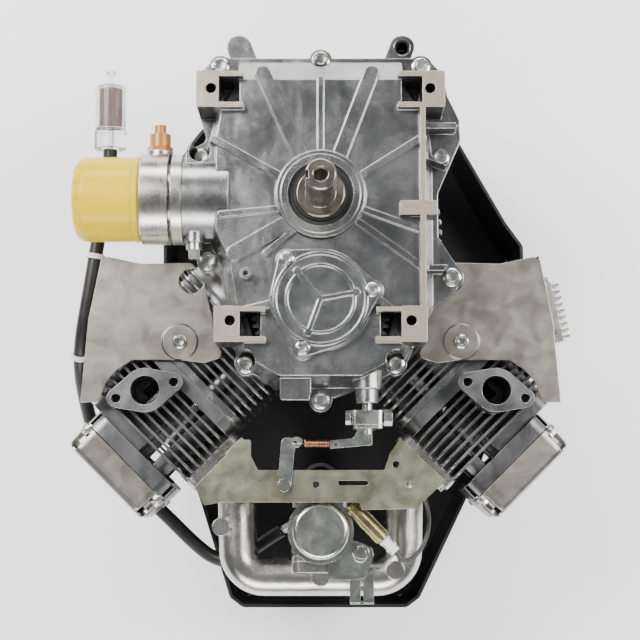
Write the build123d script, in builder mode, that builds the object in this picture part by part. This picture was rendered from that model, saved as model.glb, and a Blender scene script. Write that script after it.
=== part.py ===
from build123d import *
import os
from math import atan2, cos, degrees, pi, radians, sin, tan

os.makedirs("parts", exist_ok=True)

# Vertical-shaft V-twin engine. Millimetres, +Z up as installed, origin on the crankshaft axis
# in the plane of the mounting feet. The open side of the V faces -Y.

# Crankshaft and cylinders
shaft_radius = 12.7  # one inch output shaft
shaft_tip_z = -80.2
journal_radius = 20.9
stroke = 73.4
crank_throw = stroke / 2
bore_radius = 39.6
rod_length = 118.0
rod_pitch = 22.0
bore_z = {"left": 124.0, "right": 124.0 + rod_pitch}
crankpin_radius = 19.0
running_gap = 0.04

# Timing gears, 12 diametral pitch
module = 25.4 / 12
crank_teeth = 28
cam_teeth = 2 * crank_teeth
cam_y = -module * (crank_teeth + cam_teeth) / 2
governor_teeth = 24
governor_pin = 4.0
governor_centre = Vector(module * (cam_teeth + governor_teeth) / 2, 0).rotate(Axis.Z, 135) + Vector(0, cam_y)
governor_low = 48.0
gear_z = 62.0

# Levels of the cast parts
panel_z = 10.0
flange_z = 47.0
joint_z = 57.0
case_z = joint_z + 0.8
case_top_z = 190.0
wall = 5.0

# Distances along a bore from the crankshaft axis
deck_at = 186.0
head_at = deck_at + 1.2
rocker_at = 262.0
cover_at = 277.2
cover_end = 302.0
# Across the bore, positive on the outside of the V
barrel_out = 50.0
head_out = 44.0
valley = -84.0
pushrod_across = cam_y * sin(pi / 4)
exhaust_along = 220.5
exhaust_across = -6.6
exhaust_z = 62.0
intake_along = 222.0
intake_z = 134.0
fin_half = 50.0
fin_thickness = 2.2
fin_pitch = 7.0

# Sheet metal under the barrels; its screw seat lies along and across the bore
sheet = 1.6
shield_z = 70.0
shield_relief_spot = (100.25, -67.5)
shield_relief_size = (16.5, 27.0)
screw_seat = (169.8, 2.7)

foot_holes = [(92.0, 88.9), (-92.0, 88.9), (75.2, -107.2), (-75.2, -107.2)]
foot_hole_radius = 4.4

sump_bolt_places = [
    (87, 119.5),
    (0, 125),
    (-87, 119.5),
    (-103, 39),
    (-112.5, -65),
    (-63.5, -139.5),
    (0, -170),
    (63.5, -139.5),
    (96, -51),
    (102.5, 39),
]
bolt_radius = 3.9
bolt_length = 28.0
screw_radius = 3.0
pump_bolt_angles = [50, 170, 290]
pump_bolt_circle = 43.5
# Across a bore and up from it
head_bolt_spots = [(36, 35), (36, -35), (-46, 34), (-46, -34)]
# Drain plug: x and z of its axis, and the face it screws into, at -Y
drain_spot = (107.0, 30.0)
drain_face = 38.0
# Oil fill tube
tube_x, tube_y = -72.0, 143.0


def across_bore(side, along):
    """Section plane square to the left bore at a distance from the crankshaft."""
    centre = (along * sin(pi / 4), -along * sin(pi / 4), bore_z[side])
    return Plane(origin=centre, x_dir=(1, 1, 0), z_dir=(1, -1, 0))


def bank_point(along, across, z=0):
    """Point of the left cylinder's frame in the engine's frame."""
    return Vector((along + across) * sin(pi / 4), (across - along) * sin(pi / 4), z)


def on_side(piece, side):
    """The left cylinder's pieces as they are, the right one's mirrored across X = 0."""
    return piece if side == "left" else mirror(piece, about=Plane.YZ)


def bolt(shank_radius, length, seat=(0, 0, 0), direction=(0, 0, 1)):
    """Hex flange bolt whose shank runs from its seat along the direction."""
    with BuildPart() as piece:
        seat_plane = Plane(origin=seat, z_dir=direction)
        with BuildSketch(seat_plane):
            Circle(shank_radius * 2.05)
        extrude(amount=-0.3 * shank_radius)
        with BuildSketch(seat_plane.offset(-0.3 * shank_radius)):
            RegularPolygon(shank_radius * 1.72, 6)
        extrude(amount=-1.3 * shank_radius)
        chamfer(piece.faces().sort_by(Axis(seat, direction))[0].edges(), 0.2 * shank_radius)
        with BuildSketch(seat_plane):
            Circle(shank_radius)
        extrude(amount=length)
    return piece.part


def gear(teeth, z, face_width, hole_radius, turn):
    """Spur gear with straight-flanked teeth, its first tooth centred at the angle turn."""
    pitch_radius = module * teeth / 2
    root_radius = pitch_radius - 1.2 * module
    tip_radius = pitch_radius + 0.85 * module
    half = pi * module / 4 - 0.16
    slope = tan(radians(20))
    root_half = half + slope * (pitch_radius - root_radius)
    tip_half = half - slope * (tip_radius - pitch_radius)
    with BuildPart() as piece:
        with BuildSketch(Plane.XY.offset(z)):
            Circle(root_radius)
            with PolarLocations(0, teeth, start_angle=turn):
                Polygon(
                    (root_radius - 1, -root_half),
                    (tip_radius, -tip_half),
                    (tip_radius, tip_half),
                    (root_radius - 1, root_half),
                    align=None,
                )
            Circle(hole_radius, mode=Mode.SUBTRACT)
        extrude(amount=face_width)
    return piece.part


def rib(start, end, width):
    """Round-ended bar between two points, added to the sketch in progress."""
    run = Vector(*end) - Vector(*start)
    with Locations((Vector(*start) + Vector(*end)) / 2):
        SlotCenterToCenter(run.length, width, rotation=degrees(atan2(run.Y, run.X)))


def case_outline():
    """Outline of the joint between the sump and the crankcase, without its bolt ears."""
    with BuildSketch() as outline:
        Polygon(
            (92, 127),
            (-92, 127),
            (-106, 113),
            (-110, 93),
            (-120, 72),
            (-121, 54),
            (-101, 8),
            (-101, -30),
            (-119, -58),
            (-117, -76),
            (-95, -92),
            (-72, -142),
            (-36, -159),
            (-12, -168),
            (12, -168),
            (36, -159),
            (70, -142),
            (79, -94),
            (86, -64),
            (112, -44),
            (112, 46),
            (98, 54),
            (107, 82),
            (107, 112),
            align=None,
        )
        fillet(outline.vertices(), 5)
    return outline.sketch


def ears(radius):
    """Round ears about the sump bolts."""
    with BuildSketch() as piece:
        with Locations(*sump_bolt_places):
            Circle(radius)
    return piece.sketch


# Sump: lower crankcase cover, with the feet, main bearing and pump seat cast in one
hub_z = 4.5
seat_z = 6.0
with BuildPart() as sump:
    with BuildSketch(Plane.XY.offset(flange_z)):
        add(case_outline())
        add(ears(10))
    extrude(amount=joint_z - flange_z)
    with BuildSketch(Plane.XY.offset(panel_z)) as floor_outline:
        Polygon(
            (66, 99),
            (-65, 99),
            (-84, 72),
            (-88, 40),
            (-88, -88),
            (-62, -137),
            (-34, -152),
            (34, -152),
            (62, -136),
            (70, -92),
            (76, -55),
            (88, -30),
            (88, 48),
            (84, 72),
            align=None,
        )
        fillet(floor_outline.vertices(), 6)
    extrude(amount=joint_z - panel_z - 1, taper=-12)
    # long sloping wall at the back
    with BuildSketch(Plane.YZ):
        Polygon((90, panel_z), (99, panel_z), (121, 40), (123, 48), (90, 48), align=None)
    extrude(amount=70, both=True)
    # square ledge at the front edge and the cast pocket walls of the two sides
    with BuildSketch(Plane.XY.offset(panel_z + 8)):
        with Locations((21, -160)):
            RectangleRounded(26, 24, 3)
    extrude(amount=flange_z - panel_z - 4, taper=3)
    with BuildSketch(Plane.XY.offset(panel_z + 12)):
        rib((-84, 62), (-114, 62), 5)
        rib((-86, 38), (-106, 30), 5)
        rib((-88, -60), (-110, -60), 5)
    extrude(amount=flange_z - panel_z - 11, taper=1)
    # neck of the oil filter, a drum lying along X
    with BuildSketch(Plane.YZ.offset(78)):
        with Locations((1.5, 42)):
            Circle(37)
    extrude(amount=39)
    with BuildSketch(Plane.XY.offset(17)):
        with Locations((96, 10)):
            RectangleRounded(36, 70, 6)
    extrude(amount=30, taper=-4)
    # governor shaft boss, and its thicker root
    with BuildSketch(Plane.XZ.offset(120)):
        with Locations((-39, 30)):
            Circle(12.5)
    extrude(amount=42)
    with BuildSketch(Plane.XZ.offset(160)):
        with Locations((-39, 30)):
            Circle(9.5)
    extrude(amount=14)
    # machined feet: outer pads with two arms each
    with BuildSketch():
        for x_sign in (1, -1):
            with Locations((x_sign * 95, 88.5)):
                RectangleRounded(19, 31, 1.5)
            with Locations((x_sign * 77, 101.5), (x_sign * 77, 75)):
                Rectangle(24, 4.5)
            with Locations((x_sign * 77.5, -110)):
                RectangleRounded(22, 30, 1.5)
            with Locations((x_sign * 58, -98), (x_sign * 58, -122.5)):
                Rectangle(24, 4.5)
    extrude(amount=flange_z + 1)
    # machined rail between the feet on one side, and its cross pad
    with BuildSketch():
        with Locations((-85.5, -11)):
            Rectangle(4.5, 172)
        with Locations((-82, -12.5)):
            Rectangle(31, 12)
    extrude(amount=30)
    # hub round the shaft, a raised ring with a lip
    with BuildSketch(Plane.XY.offset(hub_z)):
        Circle(37)
    extrude(amount=panel_z - hub_z + 1, taper=-14)
    with BuildSketch(Plane.XY.offset(hub_z - 1.5)):
        Circle(33.5)
    extrude(amount=3)
    # stiffening ribs from the hub to the feet and the back wall
    rib_lines = (
        ((49, 104), (17, 33), 12),
        ((-43, 104), (-16, 33), 12),
        ((90, 47), (31, 14), 6),
        ((-86, 49), (-31, 14), 6),
        ((84, -17), (33, -12), 5),
        ((72, -50), (24, -22), 13),
        ((46, -50), (22, -30), 5),
        ((-83, -60), (-30, -22), 5),
        ((-60, -98), (-42, -84), 6),
        ((64, -98), (40, -92), 6),
        ((0, 98), (0, 36), 5),
        ((-84, -30), (-34, -12), 5),
    )
    for start, end, width in rib_lines:
        with BuildSketch(Plane.XY.offset(seat_z + 0.5)):
            rib(start, end, width)
        extrude(amount=8, taper=-8)
    # seat of the pump cover, with a boss under each bolt
    with BuildSketch(Plane.XY.offset(seat_z)):
        with Locations((0, cam_y)):
            Circle(42)
            for angle in pump_bolt_angles:
                with Locations(Vector(pump_bolt_circle, 0).rotate(Axis.Z, angle)):
                    Circle(9)
    extrude(amount=10, taper=-8)
    # crank chamber side is hollow, except for the two bearing bosses
    with BuildSketch(Plane.XY.offset(panel_z + wall)):
        offset(floor_outline.sketch, amount=-wall, kind=Kind.INTERSECTION)
    extrude(amount=60, taper=-9, mode=Mode.SUBTRACT)
    with BuildSketch(Plane.XY.offset(panel_z + 1)):
        Circle(32)
        with Locations((0, cam_y)):
            Circle(30)
    extrude(amount=45)
    with BuildSketch(Plane.XY.offset(seat_z)):
        with Locations(*foot_holes):
            Circle(8)
    extrude(amount=flange_z - seat_z)
    # boss of the drain plug beside the filter's neck
    with BuildSketch(Plane.XZ.offset(18)):
        with Locations(drain_spot):
            Circle(9)
    extrude(amount=drain_face - 18)
    # nothing of the sump stands above the joint
    with BuildSketch(Plane.XY.offset(joint_z)):
        Rectangle(400, 500)
    extrude(amount=60, mode=Mode.SUBTRACT)
    # recesses between the pads and the body
    with BuildSketch():
        for x_sign in (1, -1):
            with Locations((x_sign * 77, 88.5), (x_sign * 58.5, -110)):
                Rectangle(17, 21)
    extrude(amount=flange_z - 9, mode=Mode.SUBTRACT)
    # bores: seal, main bearing, pump rotor, cam journal, feet, bolts, governor shaft, plugs
    with BuildSketch():
        Circle(27.5)
    extrude(amount=14, mode=Mode.SUBTRACT)
    with BuildSketch():
        Circle(journal_radius + running_gap)
    extrude(amount=80, mode=Mode.SUBTRACT)
    with BuildSketch():
        with Locations((0, cam_y)):
            Circle(20 + running_gap)
    extrude(amount=24, mode=Mode.SUBTRACT)
    with BuildSketch():
        with Locations((0, cam_y)):
            Circle(9 + running_gap)
        with Locations(*foot_holes):
            Circle(foot_hole_radius)
        for angle in pump_bolt_angles:
            with Locations(Vector(0, cam_y) + Vector(pump_bolt_circle, 0).rotate(Axis.Z, angle)):
                Circle(3)
        with Locations(*sump_bolt_places):
            Circle(bolt_radius)
    extrude(amount=80, mode=Mode.SUBTRACT)
    # spot faces let the bolt heads in
    with BuildSketch():
        add(ears(9))
    extrude(amount=flange_z, mode=Mode.SUBTRACT)
    with BuildSketch(Plane.XZ.offset(100)):
        with Locations((-39, 30)):
            Circle(4.5 + running_gap)
    extrude(amount=90, mode=Mode.SUBTRACT)
    with BuildSketch(Plane.YZ.offset(117)):
        with Locations((1.5, 42)):
            Circle(14)
    extrude(amount=-30, mode=Mode.SUBTRACT)
    # fixed pin that the governor gear runs on, with its collar
    for top, radius in ((governor_low - 0.1, 8), (gear_z + 10, governor_pin)):
        with BuildSketch(Plane.XY.offset(panel_z + 2)):
            with Locations(governor_centre):
                Circle(radius)
        extrude(amount=top - panel_z - 2)
sump.part.label = "sump"
export_step(sump.part, "parts/sump.step")

# Lower oil seal, a rubber ring that the shaft runs in
seal_lip = 0.1
with BuildPart() as lower_oil_seal:
    with BuildSketch(Plane.XZ):
        with BuildLine():
            Polyline((journal_radius + seal_lip, 5.5), (22.5, 5.5), (23.5, 7.5), (26, 7.5), (26.5, 5.5), (27.5, 5.5))
            Polyline((27.5, 5.5), (27.5, 13.9), (journal_radius + seal_lip, 13.9), (journal_radius + seal_lip, 5.5))
        make_face()
    revolve(axis=Axis.Z)
lower_oil_seal.part.label = "lower_oil_seal"
export_step(lower_oil_seal.part, "parts/lower_oil_seal.step")

# Oil pump cover: three lobes, a raised rim and ring, and three spokes
with BuildPart() as pump_cover:
    with BuildSketch(Plane.XY.offset(seat_z)) as lobes:
        with Locations((0, cam_y)):
            Circle(42.5)
            for angle in pump_bolt_angles:
                with Locations(Vector(pump_bolt_circle, 0).rotate(Axis.Z, angle)):
                    Circle(8)
            make_hull()
    extrude(amount=-4.5)
    chamfer(pump_cover.faces().sort_by(Axis.Z)[0].edges(), 1)
    with BuildSketch(Plane.XY.offset(seat_z - 4.5)):
        with Locations((0, cam_y)):
            Circle(39.5)
            Circle(36.5, mode=Mode.SUBTRACT)
            Circle(29.5)
            Circle(27, mode=Mode.SUBTRACT)
            for angle in pump_bolt_angles:
                with Locations(Vector(13.5, 0).rotate(Axis.Z, angle)):
                    SlotCenterToCenter(27, 4, rotation=angle)
                with Locations(Vector(30, 0).rotate(Axis.Z, angle)):
                    Circle(3.6)
    extrude(amount=-1.8, taper=10)
    with BuildSketch(Plane.XY.offset(seat_z)):
        for angle in pump_bolt_angles:
            with Locations(Vector(0, cam_y) + Vector(pump_bolt_circle, 0).rotate(Axis.Z, angle)):
                Circle(screw_radius)
    extrude(amount=-20, mode=Mode.SUBTRACT)
    with BuildSketch(Plane.XY.offset(seat_z - 4.5)):
        for angle in pump_bolt_angles:
            with Locations(Vector(0, cam_y) + Vector(pump_bolt_circle, 0).rotate(Axis.Z, angle)):
                Circle(6.8)
    extrude(amount=-5, mode=Mode.SUBTRACT)
pump_cover.part.label = "pump_cover"
export_step(pump_cover.part, "parts/pump_cover.step")

# Rotor of the oil pump, five lobes, on the lower end of the camshaft
with BuildPart() as oil_pump_rotor:
    with BuildSketch(Plane.XY.offset(seat_z + 0.5)):
        with Locations((0, cam_y)):
            Circle(13)
            with PolarLocations(13, 5):
                Circle(4.5)
            Circle(6, mode=Mode.SUBTRACT)
    extrude(amount=15)
oil_pump_rotor.part.label = "oil_pump_rotor"
export_step(oil_pump_rotor.part, "parts/oil_pump_rotor.step")

# Crankcase with two finned cylinders
chamber_radius = 74.0
tower_radius = 82.0
gear_room = module * cam_teeth / 2 + 4
lobe_room = 30.0
barrel_from = 84.0
fins_from = 118.0
tunnel_radius = 8.0


def barrel(side):
    """One finned cylinder with the pushrod tunnel in its casting."""
    with BuildPart() as piece:
        with BuildSketch(across_bore(side, barrel_from)):
            Circle(bore_radius + 7)
            with Locations((pushrod_across / 2, 0)):
                RectangleRounded(abs(pushrod_across) + 24, 56, 11)
        extrude(amount=deck_at - barrel_from)
        for index in range(int((deck_at - 4 - fins_from) / fin_pitch) + 1):
            with BuildSketch(across_bore(side, fins_from + index * fin_pitch)):
                with Locations(((barrel_out + valley) / 2, 0)):
                    RectangleRounded(barrel_out - valley, 2 * fin_half, 14)
            extrude(amount=fin_thickness)
        # deck that the head sits on
        with BuildSketch(across_bore(side, deck_at - 6)):
            with Locations(((barrel_out + valley) / 2, 0)):
                RectangleRounded(barrel_out - valley, 2 * fin_half, 14)
        extrude(amount=6)
        # columns of the head bolts
        with BuildSketch(across_bore(side, deck_at - 26)):
            with Locations(*head_bolt_spots):
                Circle(8)
        extrude(amount=26)
        # boss that holds the shield's screw
        with BuildSketch(Plane.XY.offset(shield_z + sheet)):
            with Locations(bank_point(*screw_seat)):
                Circle(7)
        extrude(amount=bore_z[side] - bore_radius - 3 - shield_z - sheet)
        with BuildSketch(Plane.XY.offset(shield_z + sheet)):
            with Locations(bank_point(*screw_seat)):
                Circle(screw_radius)
        extrude(amount=9, mode=Mode.SUBTRACT)
    return on_side(piece.part, side)


def barrel_bores(side):
    """Cylinder bore, pushrod tunnels and head bolt holes, to be cut away."""
    with BuildPart() as piece:
        with BuildSketch(across_bore(side, 56)):
            Circle(bore_radius)
        extrude(amount=deck_at - 56 + 1)
        with BuildSketch(across_bore(side, 76)):
            with Locations((pushrod_across, 17), (pushrod_across, -17)):
                Circle(tunnel_radius)
        extrude(amount=deck_at - 76 + 1)
        with BuildSketch(across_bore(side, deck_at - 22)):
            with Locations(*head_bolt_spots):
                Circle(bolt_radius)
        extrude(amount=23)
    return on_side(piece.part, side)


with BuildPart() as crankcase:
    with BuildSketch(Plane.XY.offset(case_z)):
        add(case_outline())
        add(ears(10))
    extrude(amount=11)
    with BuildSketch(Plane.XY.offset(case_z)):
        offset(case_outline(), amount=-7)
        with Locations(*sump_bolt_places):
            Circle(8)
    extrude(amount=24, taper=4)
    with BuildSketch(Plane.XY.offset(case_z)):
        Circle(tower_radius)
        with Locations((0, cam_y)):
            Circle(lobe_room + 7)
    extrude(amount=case_top_z - case_z)
    # lugs at the back: one takes the oil fill tube
    with BuildSketch(Plane.XY.offset(70)):
        for x_sign in (1, -1):
            rib((x_sign * 60, 112), (x_sign * 72, 143), 22)
    extrude(amount=14, taper=3)
    add(barrel("left"))
    add(barrel("right"))
    # crank chamber, room for the cam gear, and the narrower well of the cam lobes
    with BuildSketch(Plane.XY.offset(case_z - 1)):
        Circle(chamber_radius)
        with Locations((0, cam_y)):
            Circle(lobe_room)
    extrude(amount=case_top_z - 10 - case_z + 1, mode=Mode.SUBTRACT)
    with BuildSketch(Plane.XY.offset(case_z - 1)):
        with Locations((0, cam_y)):
            Circle(gear_room)
        with Locations(governor_centre):
            Circle(module * governor_teeth / 2 + 4)
    extrude(amount=19, mode=Mode.SUBTRACT)
    add(barrel_bores("left"), mode=Mode.SUBTRACT)
    add(barrel_bores("right"), mode=Mode.SUBTRACT)
    with BuildSketch(Plane.XY.offset(50)):
        Circle(journal_radius + running_gap)
        with Locations((0, cam_y)):
            Circle(9 + running_gap)
        with Locations((tube_x, tube_y)):
            Circle(7)
    extrude(amount=150, mode=Mode.SUBTRACT)
    with BuildSketch(Plane.XY.offset(50)):
        with Locations(*sump_bolt_places):
            Circle(bolt_radius)
    extrude(amount=27, mode=Mode.SUBTRACT)
crankcase.part.label = "crankcase"
export_step(crankcase.part, "parts/crankcase.step")

# Crankshaft: output end, journals, two webs with counterweights, one shared crankpin.
# At rest the crankpin points straight at the V, between the two bores.
web_gap = 1.0
pin_low = bore_z["left"] - rod_pitch / 2 - web_gap / 2
pin_high = bore_z["right"] + rod_pitch / 2 + web_gap / 2
web_thickness = 17.0
taper_z = 226.0
with BuildPart() as crankshaft:
    with BuildSketch(Plane.XY.offset(shaft_tip_z)):
        Circle(shaft_radius)
    extrude(amount=-shaft_tip_z)
    chamfer(crankshaft.faces().sort_by(Axis.Z)[0].edges(), 1.2)
    with BuildSketch():
        Circle(journal_radius)
    extrude(amount=pin_low - web_thickness)
    chamfer(crankshaft.faces().filter_by(Plane.XY).sort_by(Axis.Z)[1].edges().sort_by(SortBy.RADIUS)[-1], 1.2)
    for low in (pin_low - web_thickness, pin_high):
        with BuildSketch(Plane.XY.offset(low)):
            with Locations((0, -crank_throw)):
                Circle(crankpin_radius + 7)
            Rectangle(2 * (crankpin_radius + 7), crank_throw, align=(Align.CENTER, Align.MAX))
            Circle(journal_radius + 6)
            with BuildLine() as counterweight:
                ThreePointArc((-62, 6), (0, 62.3), (62, 6))
                Polyline((62, 6), (26, -6), (-26, -6), (-62, 6))
            make_face()
        extrude(amount=web_thickness)
    with BuildSketch(Plane.XY.offset(pin_low)):
        with Locations((0, -crank_throw)):
            Circle(crankpin_radius)
    extrude(amount=pin_high - pin_low)
    with BuildSketch(Plane.XY.offset(pin_high + web_thickness)):
        Circle(journal_radius)
    extrude(amount=203 - pin_high - web_thickness)
    # flywheel seat and threaded end
    with BuildSketch(Plane.XY.offset(203)):
        Circle(16)
    extrude(amount=taper_z - 203)
    with BuildSketch(Plane.XY.offset(taper_z)):
        Circle(9)
    extrude(amount=20)
    # tapped hole and keyway of the output end
    with Locations(Plane(origin=(0, 0, shaft_tip_z), z_dir=(0, 0, -1))):
        CounterSinkHole(radius=4.75, counter_sink_radius=6.2, depth=38)
    with BuildSketch(Plane.XY.offset(shaft_tip_z)):
        with Locations((shaft_radius, 0)):
            Rectangle(6.4, 6.35)
    extrude(amount=48, mode=Mode.SUBTRACT)
crankshaft.part.label = "crankshaft"
export_step(crankshaft.part, "parts/crankshaft.step")

with BuildPart() as crank_gear:
    add(gear(crank_teeth, gear_z, 10, journal_radius, -90))
crank_gear.part.label = "crank_gear"
export_step(crank_gear.part, "parts/crank_gear.step")

# Camshaft with its gear and four lobes; each lobe lies under one lifter
base_circle = 14.0
lift = 6.0
lobe_width = 8.0
lobe_levels = [bore_z["left"] - 17, bore_z["left"] + 17, bore_z["right"] - 17, bore_z["right"] + 17]
lobe_angles = [70, 180, 0, 110]
with BuildPart() as camshaft:
    add(gear(cam_teeth, gear_z, 10, 5, 90 + 180 / cam_teeth).moved(Location((0, cam_y, 0))))
    with BuildSketch(Plane.XY.offset(seat_z + 0.5)):
        with Locations((0, cam_y)):
            Circle(6)
    extrude(amount=16)
    with BuildSketch(Plane.XY.offset(22)):
        with Locations((0, cam_y)):
            Circle(9)
    extrude(amount=case_top_z - 2 - 22)
    for level, angle in zip(lobe_levels, lobe_angles):
        nose = Vector(0, cam_y) + Vector(base_circle + lift - 6, 0).rotate(Axis.Z, angle)
        with BuildSketch(Plane.XY.offset(level - lobe_width / 2)):
            with Locations((0, cam_y)):
                Circle(base_circle)
            with Locations(nose):
                Circle(6)
            make_hull()
        extrude(amount=lobe_width)
camshaft.part.label = "camshaft"
export_step(camshaft.part, "parts/camshaft.step")

# Governor gear with its flyweight cup, driven by the cam gear
with BuildPart() as governor_gear:
    add(gear(governor_teeth, gear_z, 8, governor_pin + running_gap, -45))
    with BuildSketch(Plane.XY.offset(governor_low)):
        Circle(14)
        Circle(governor_pin + running_gap, mode=Mode.SUBTRACT)
    extrude(amount=gear_z - governor_low)
governor_gear.part.position = (governor_centre.X, governor_centre.Y, 0)
governor_gear.part.label = "governor_gear"
export_step(governor_gear.part, "parts/governor_gear.step")

# Pistons at rest stand 45 degrees of crank from the top of their stroke
pin_along = crank_throw * cos(pi / 4)
wrist_along = pin_along + (rod_length**2 - pin_along**2) ** 0.5
wrist_radius = 9.0
piston_radius = bore_radius - 0.05
crown_height = 30.0
skirt_length = 18.0


def piston(side):
    """Piston with its crown, ring lands and skirt, hollow below and bored for the wrist pin."""
    with BuildPart() as piece:
        with BuildSketch(across_bore(side, wrist_along - skirt_length)):
            Circle(piston_radius)
        extrude(amount=skirt_length + crown_height)
        for depth in (5, 10, 15):
            with BuildSketch(across_bore(side, wrist_along + crown_height - depth)):
                Circle(piston_radius + 1)
                Circle(piston_radius - 2.2, mode=Mode.SUBTRACT)
            extrude(amount=1.8, mode=Mode.SUBTRACT)
        with BuildSketch(across_bore(side, wrist_along - skirt_length - 1)):
            Circle(piston_radius - 4)
        extrude(amount=skirt_length + 14, mode=Mode.SUBTRACT)
        for level in (-1, 1):
            with BuildSketch(Plane.XY.offset(bore_z[side] + level * 12)):
                with Locations(bank_point(wrist_along, 0)):
                    Circle(wrist_radius + 4)
            extrude(amount=level * 25)
        with BuildSketch(Plane.XY.offset(bore_z[side] - 60)):
            with Locations(bank_point(wrist_along, 0)):
                Circle(wrist_radius)
        extrude(amount=120, mode=Mode.SUBTRACT)
    return on_side(piece.part, side)


def wrist_pin(side):
    """Hollow steel pin between the piston and its rod."""
    with BuildPart() as piece:
        with BuildSketch(Plane.XY.offset(bore_z[side] - 33)):
            with Locations(bank_point(wrist_along, 0)):
                Circle(wrist_radius)
                Circle(5.5, mode=Mode.SUBTRACT)
        extrude(amount=66)
    return on_side(piece.part, side)


def connecting_rod(side):
    """Rod from the shared crankpin to the wrist pin."""
    big_end = bank_point(pin_along, -pin_along)
    small_end = bank_point(wrist_along, 0)
    with BuildPart() as piece:
        for low, height, reach in ((-6, 12, 1), (-10.5, 21, 0)):
            with BuildSketch(Plane.XY.offset(bore_z[side] + low)):
                with Locations(big_end):
                    Circle(crankpin_radius + 8)
                with Locations(small_end):
                    Circle(wrist_radius + 4)
                if reach:
                    rib((big_end.X, big_end.Y), (small_end.X, small_end.Y), 17)
            extrude(amount=height)
        with BuildSketch(Plane.XY.offset(bore_z[side] - 20)):
            with Locations(big_end):
                Circle(crankpin_radius + running_gap)
            with Locations(small_end):
                Circle(wrist_radius + running_gap)
        extrude(amount=40, mode=Mode.SUBTRACT)
    return on_side(piece.part, side)


for side in ("left", "right"):
    piston_and_pin = Compound(label=f"piston_{side}", children=[piston(side), wrist_pin(side)])
    export_step(piston_and_pin, f"parts/piston_{side}.step")
    rod = connecting_rod(side)
    rod.label = f"connecting_rod_{side}"
    export_step(rod, f"parts/connecting_rod_{side}.step")

# Cylinder heads
valve_across = -12.0
valve_spread = 18.0
chamber_depth = 9.0
guide_radius = 3.2
port_radius = 12.5
stud_reach = 25.7
stud_angle = 29.2
stud_radius = 4.0
box_half = 38.0
cover_low, cover_high = -84.0, 12.0
plug_start = (196, 16)
plug_angle = 36.0
plug_radius = 7.0
plug_seat = 14.0
elbow_reach = 51.0
head_fin_pitch = 7.5


def plug_plane(side, reach=0):
    """Plane square to the spark plug, at a reach along it from its seat."""
    start = bank_point(*plug_start, bore_z[side] + 15)
    way = bank_point(cos(radians(plug_angle)), sin(radians(plug_angle)))
    return Plane(origin=start + way * reach, x_dir=(0, 0, 1), z_dir=way)


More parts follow.
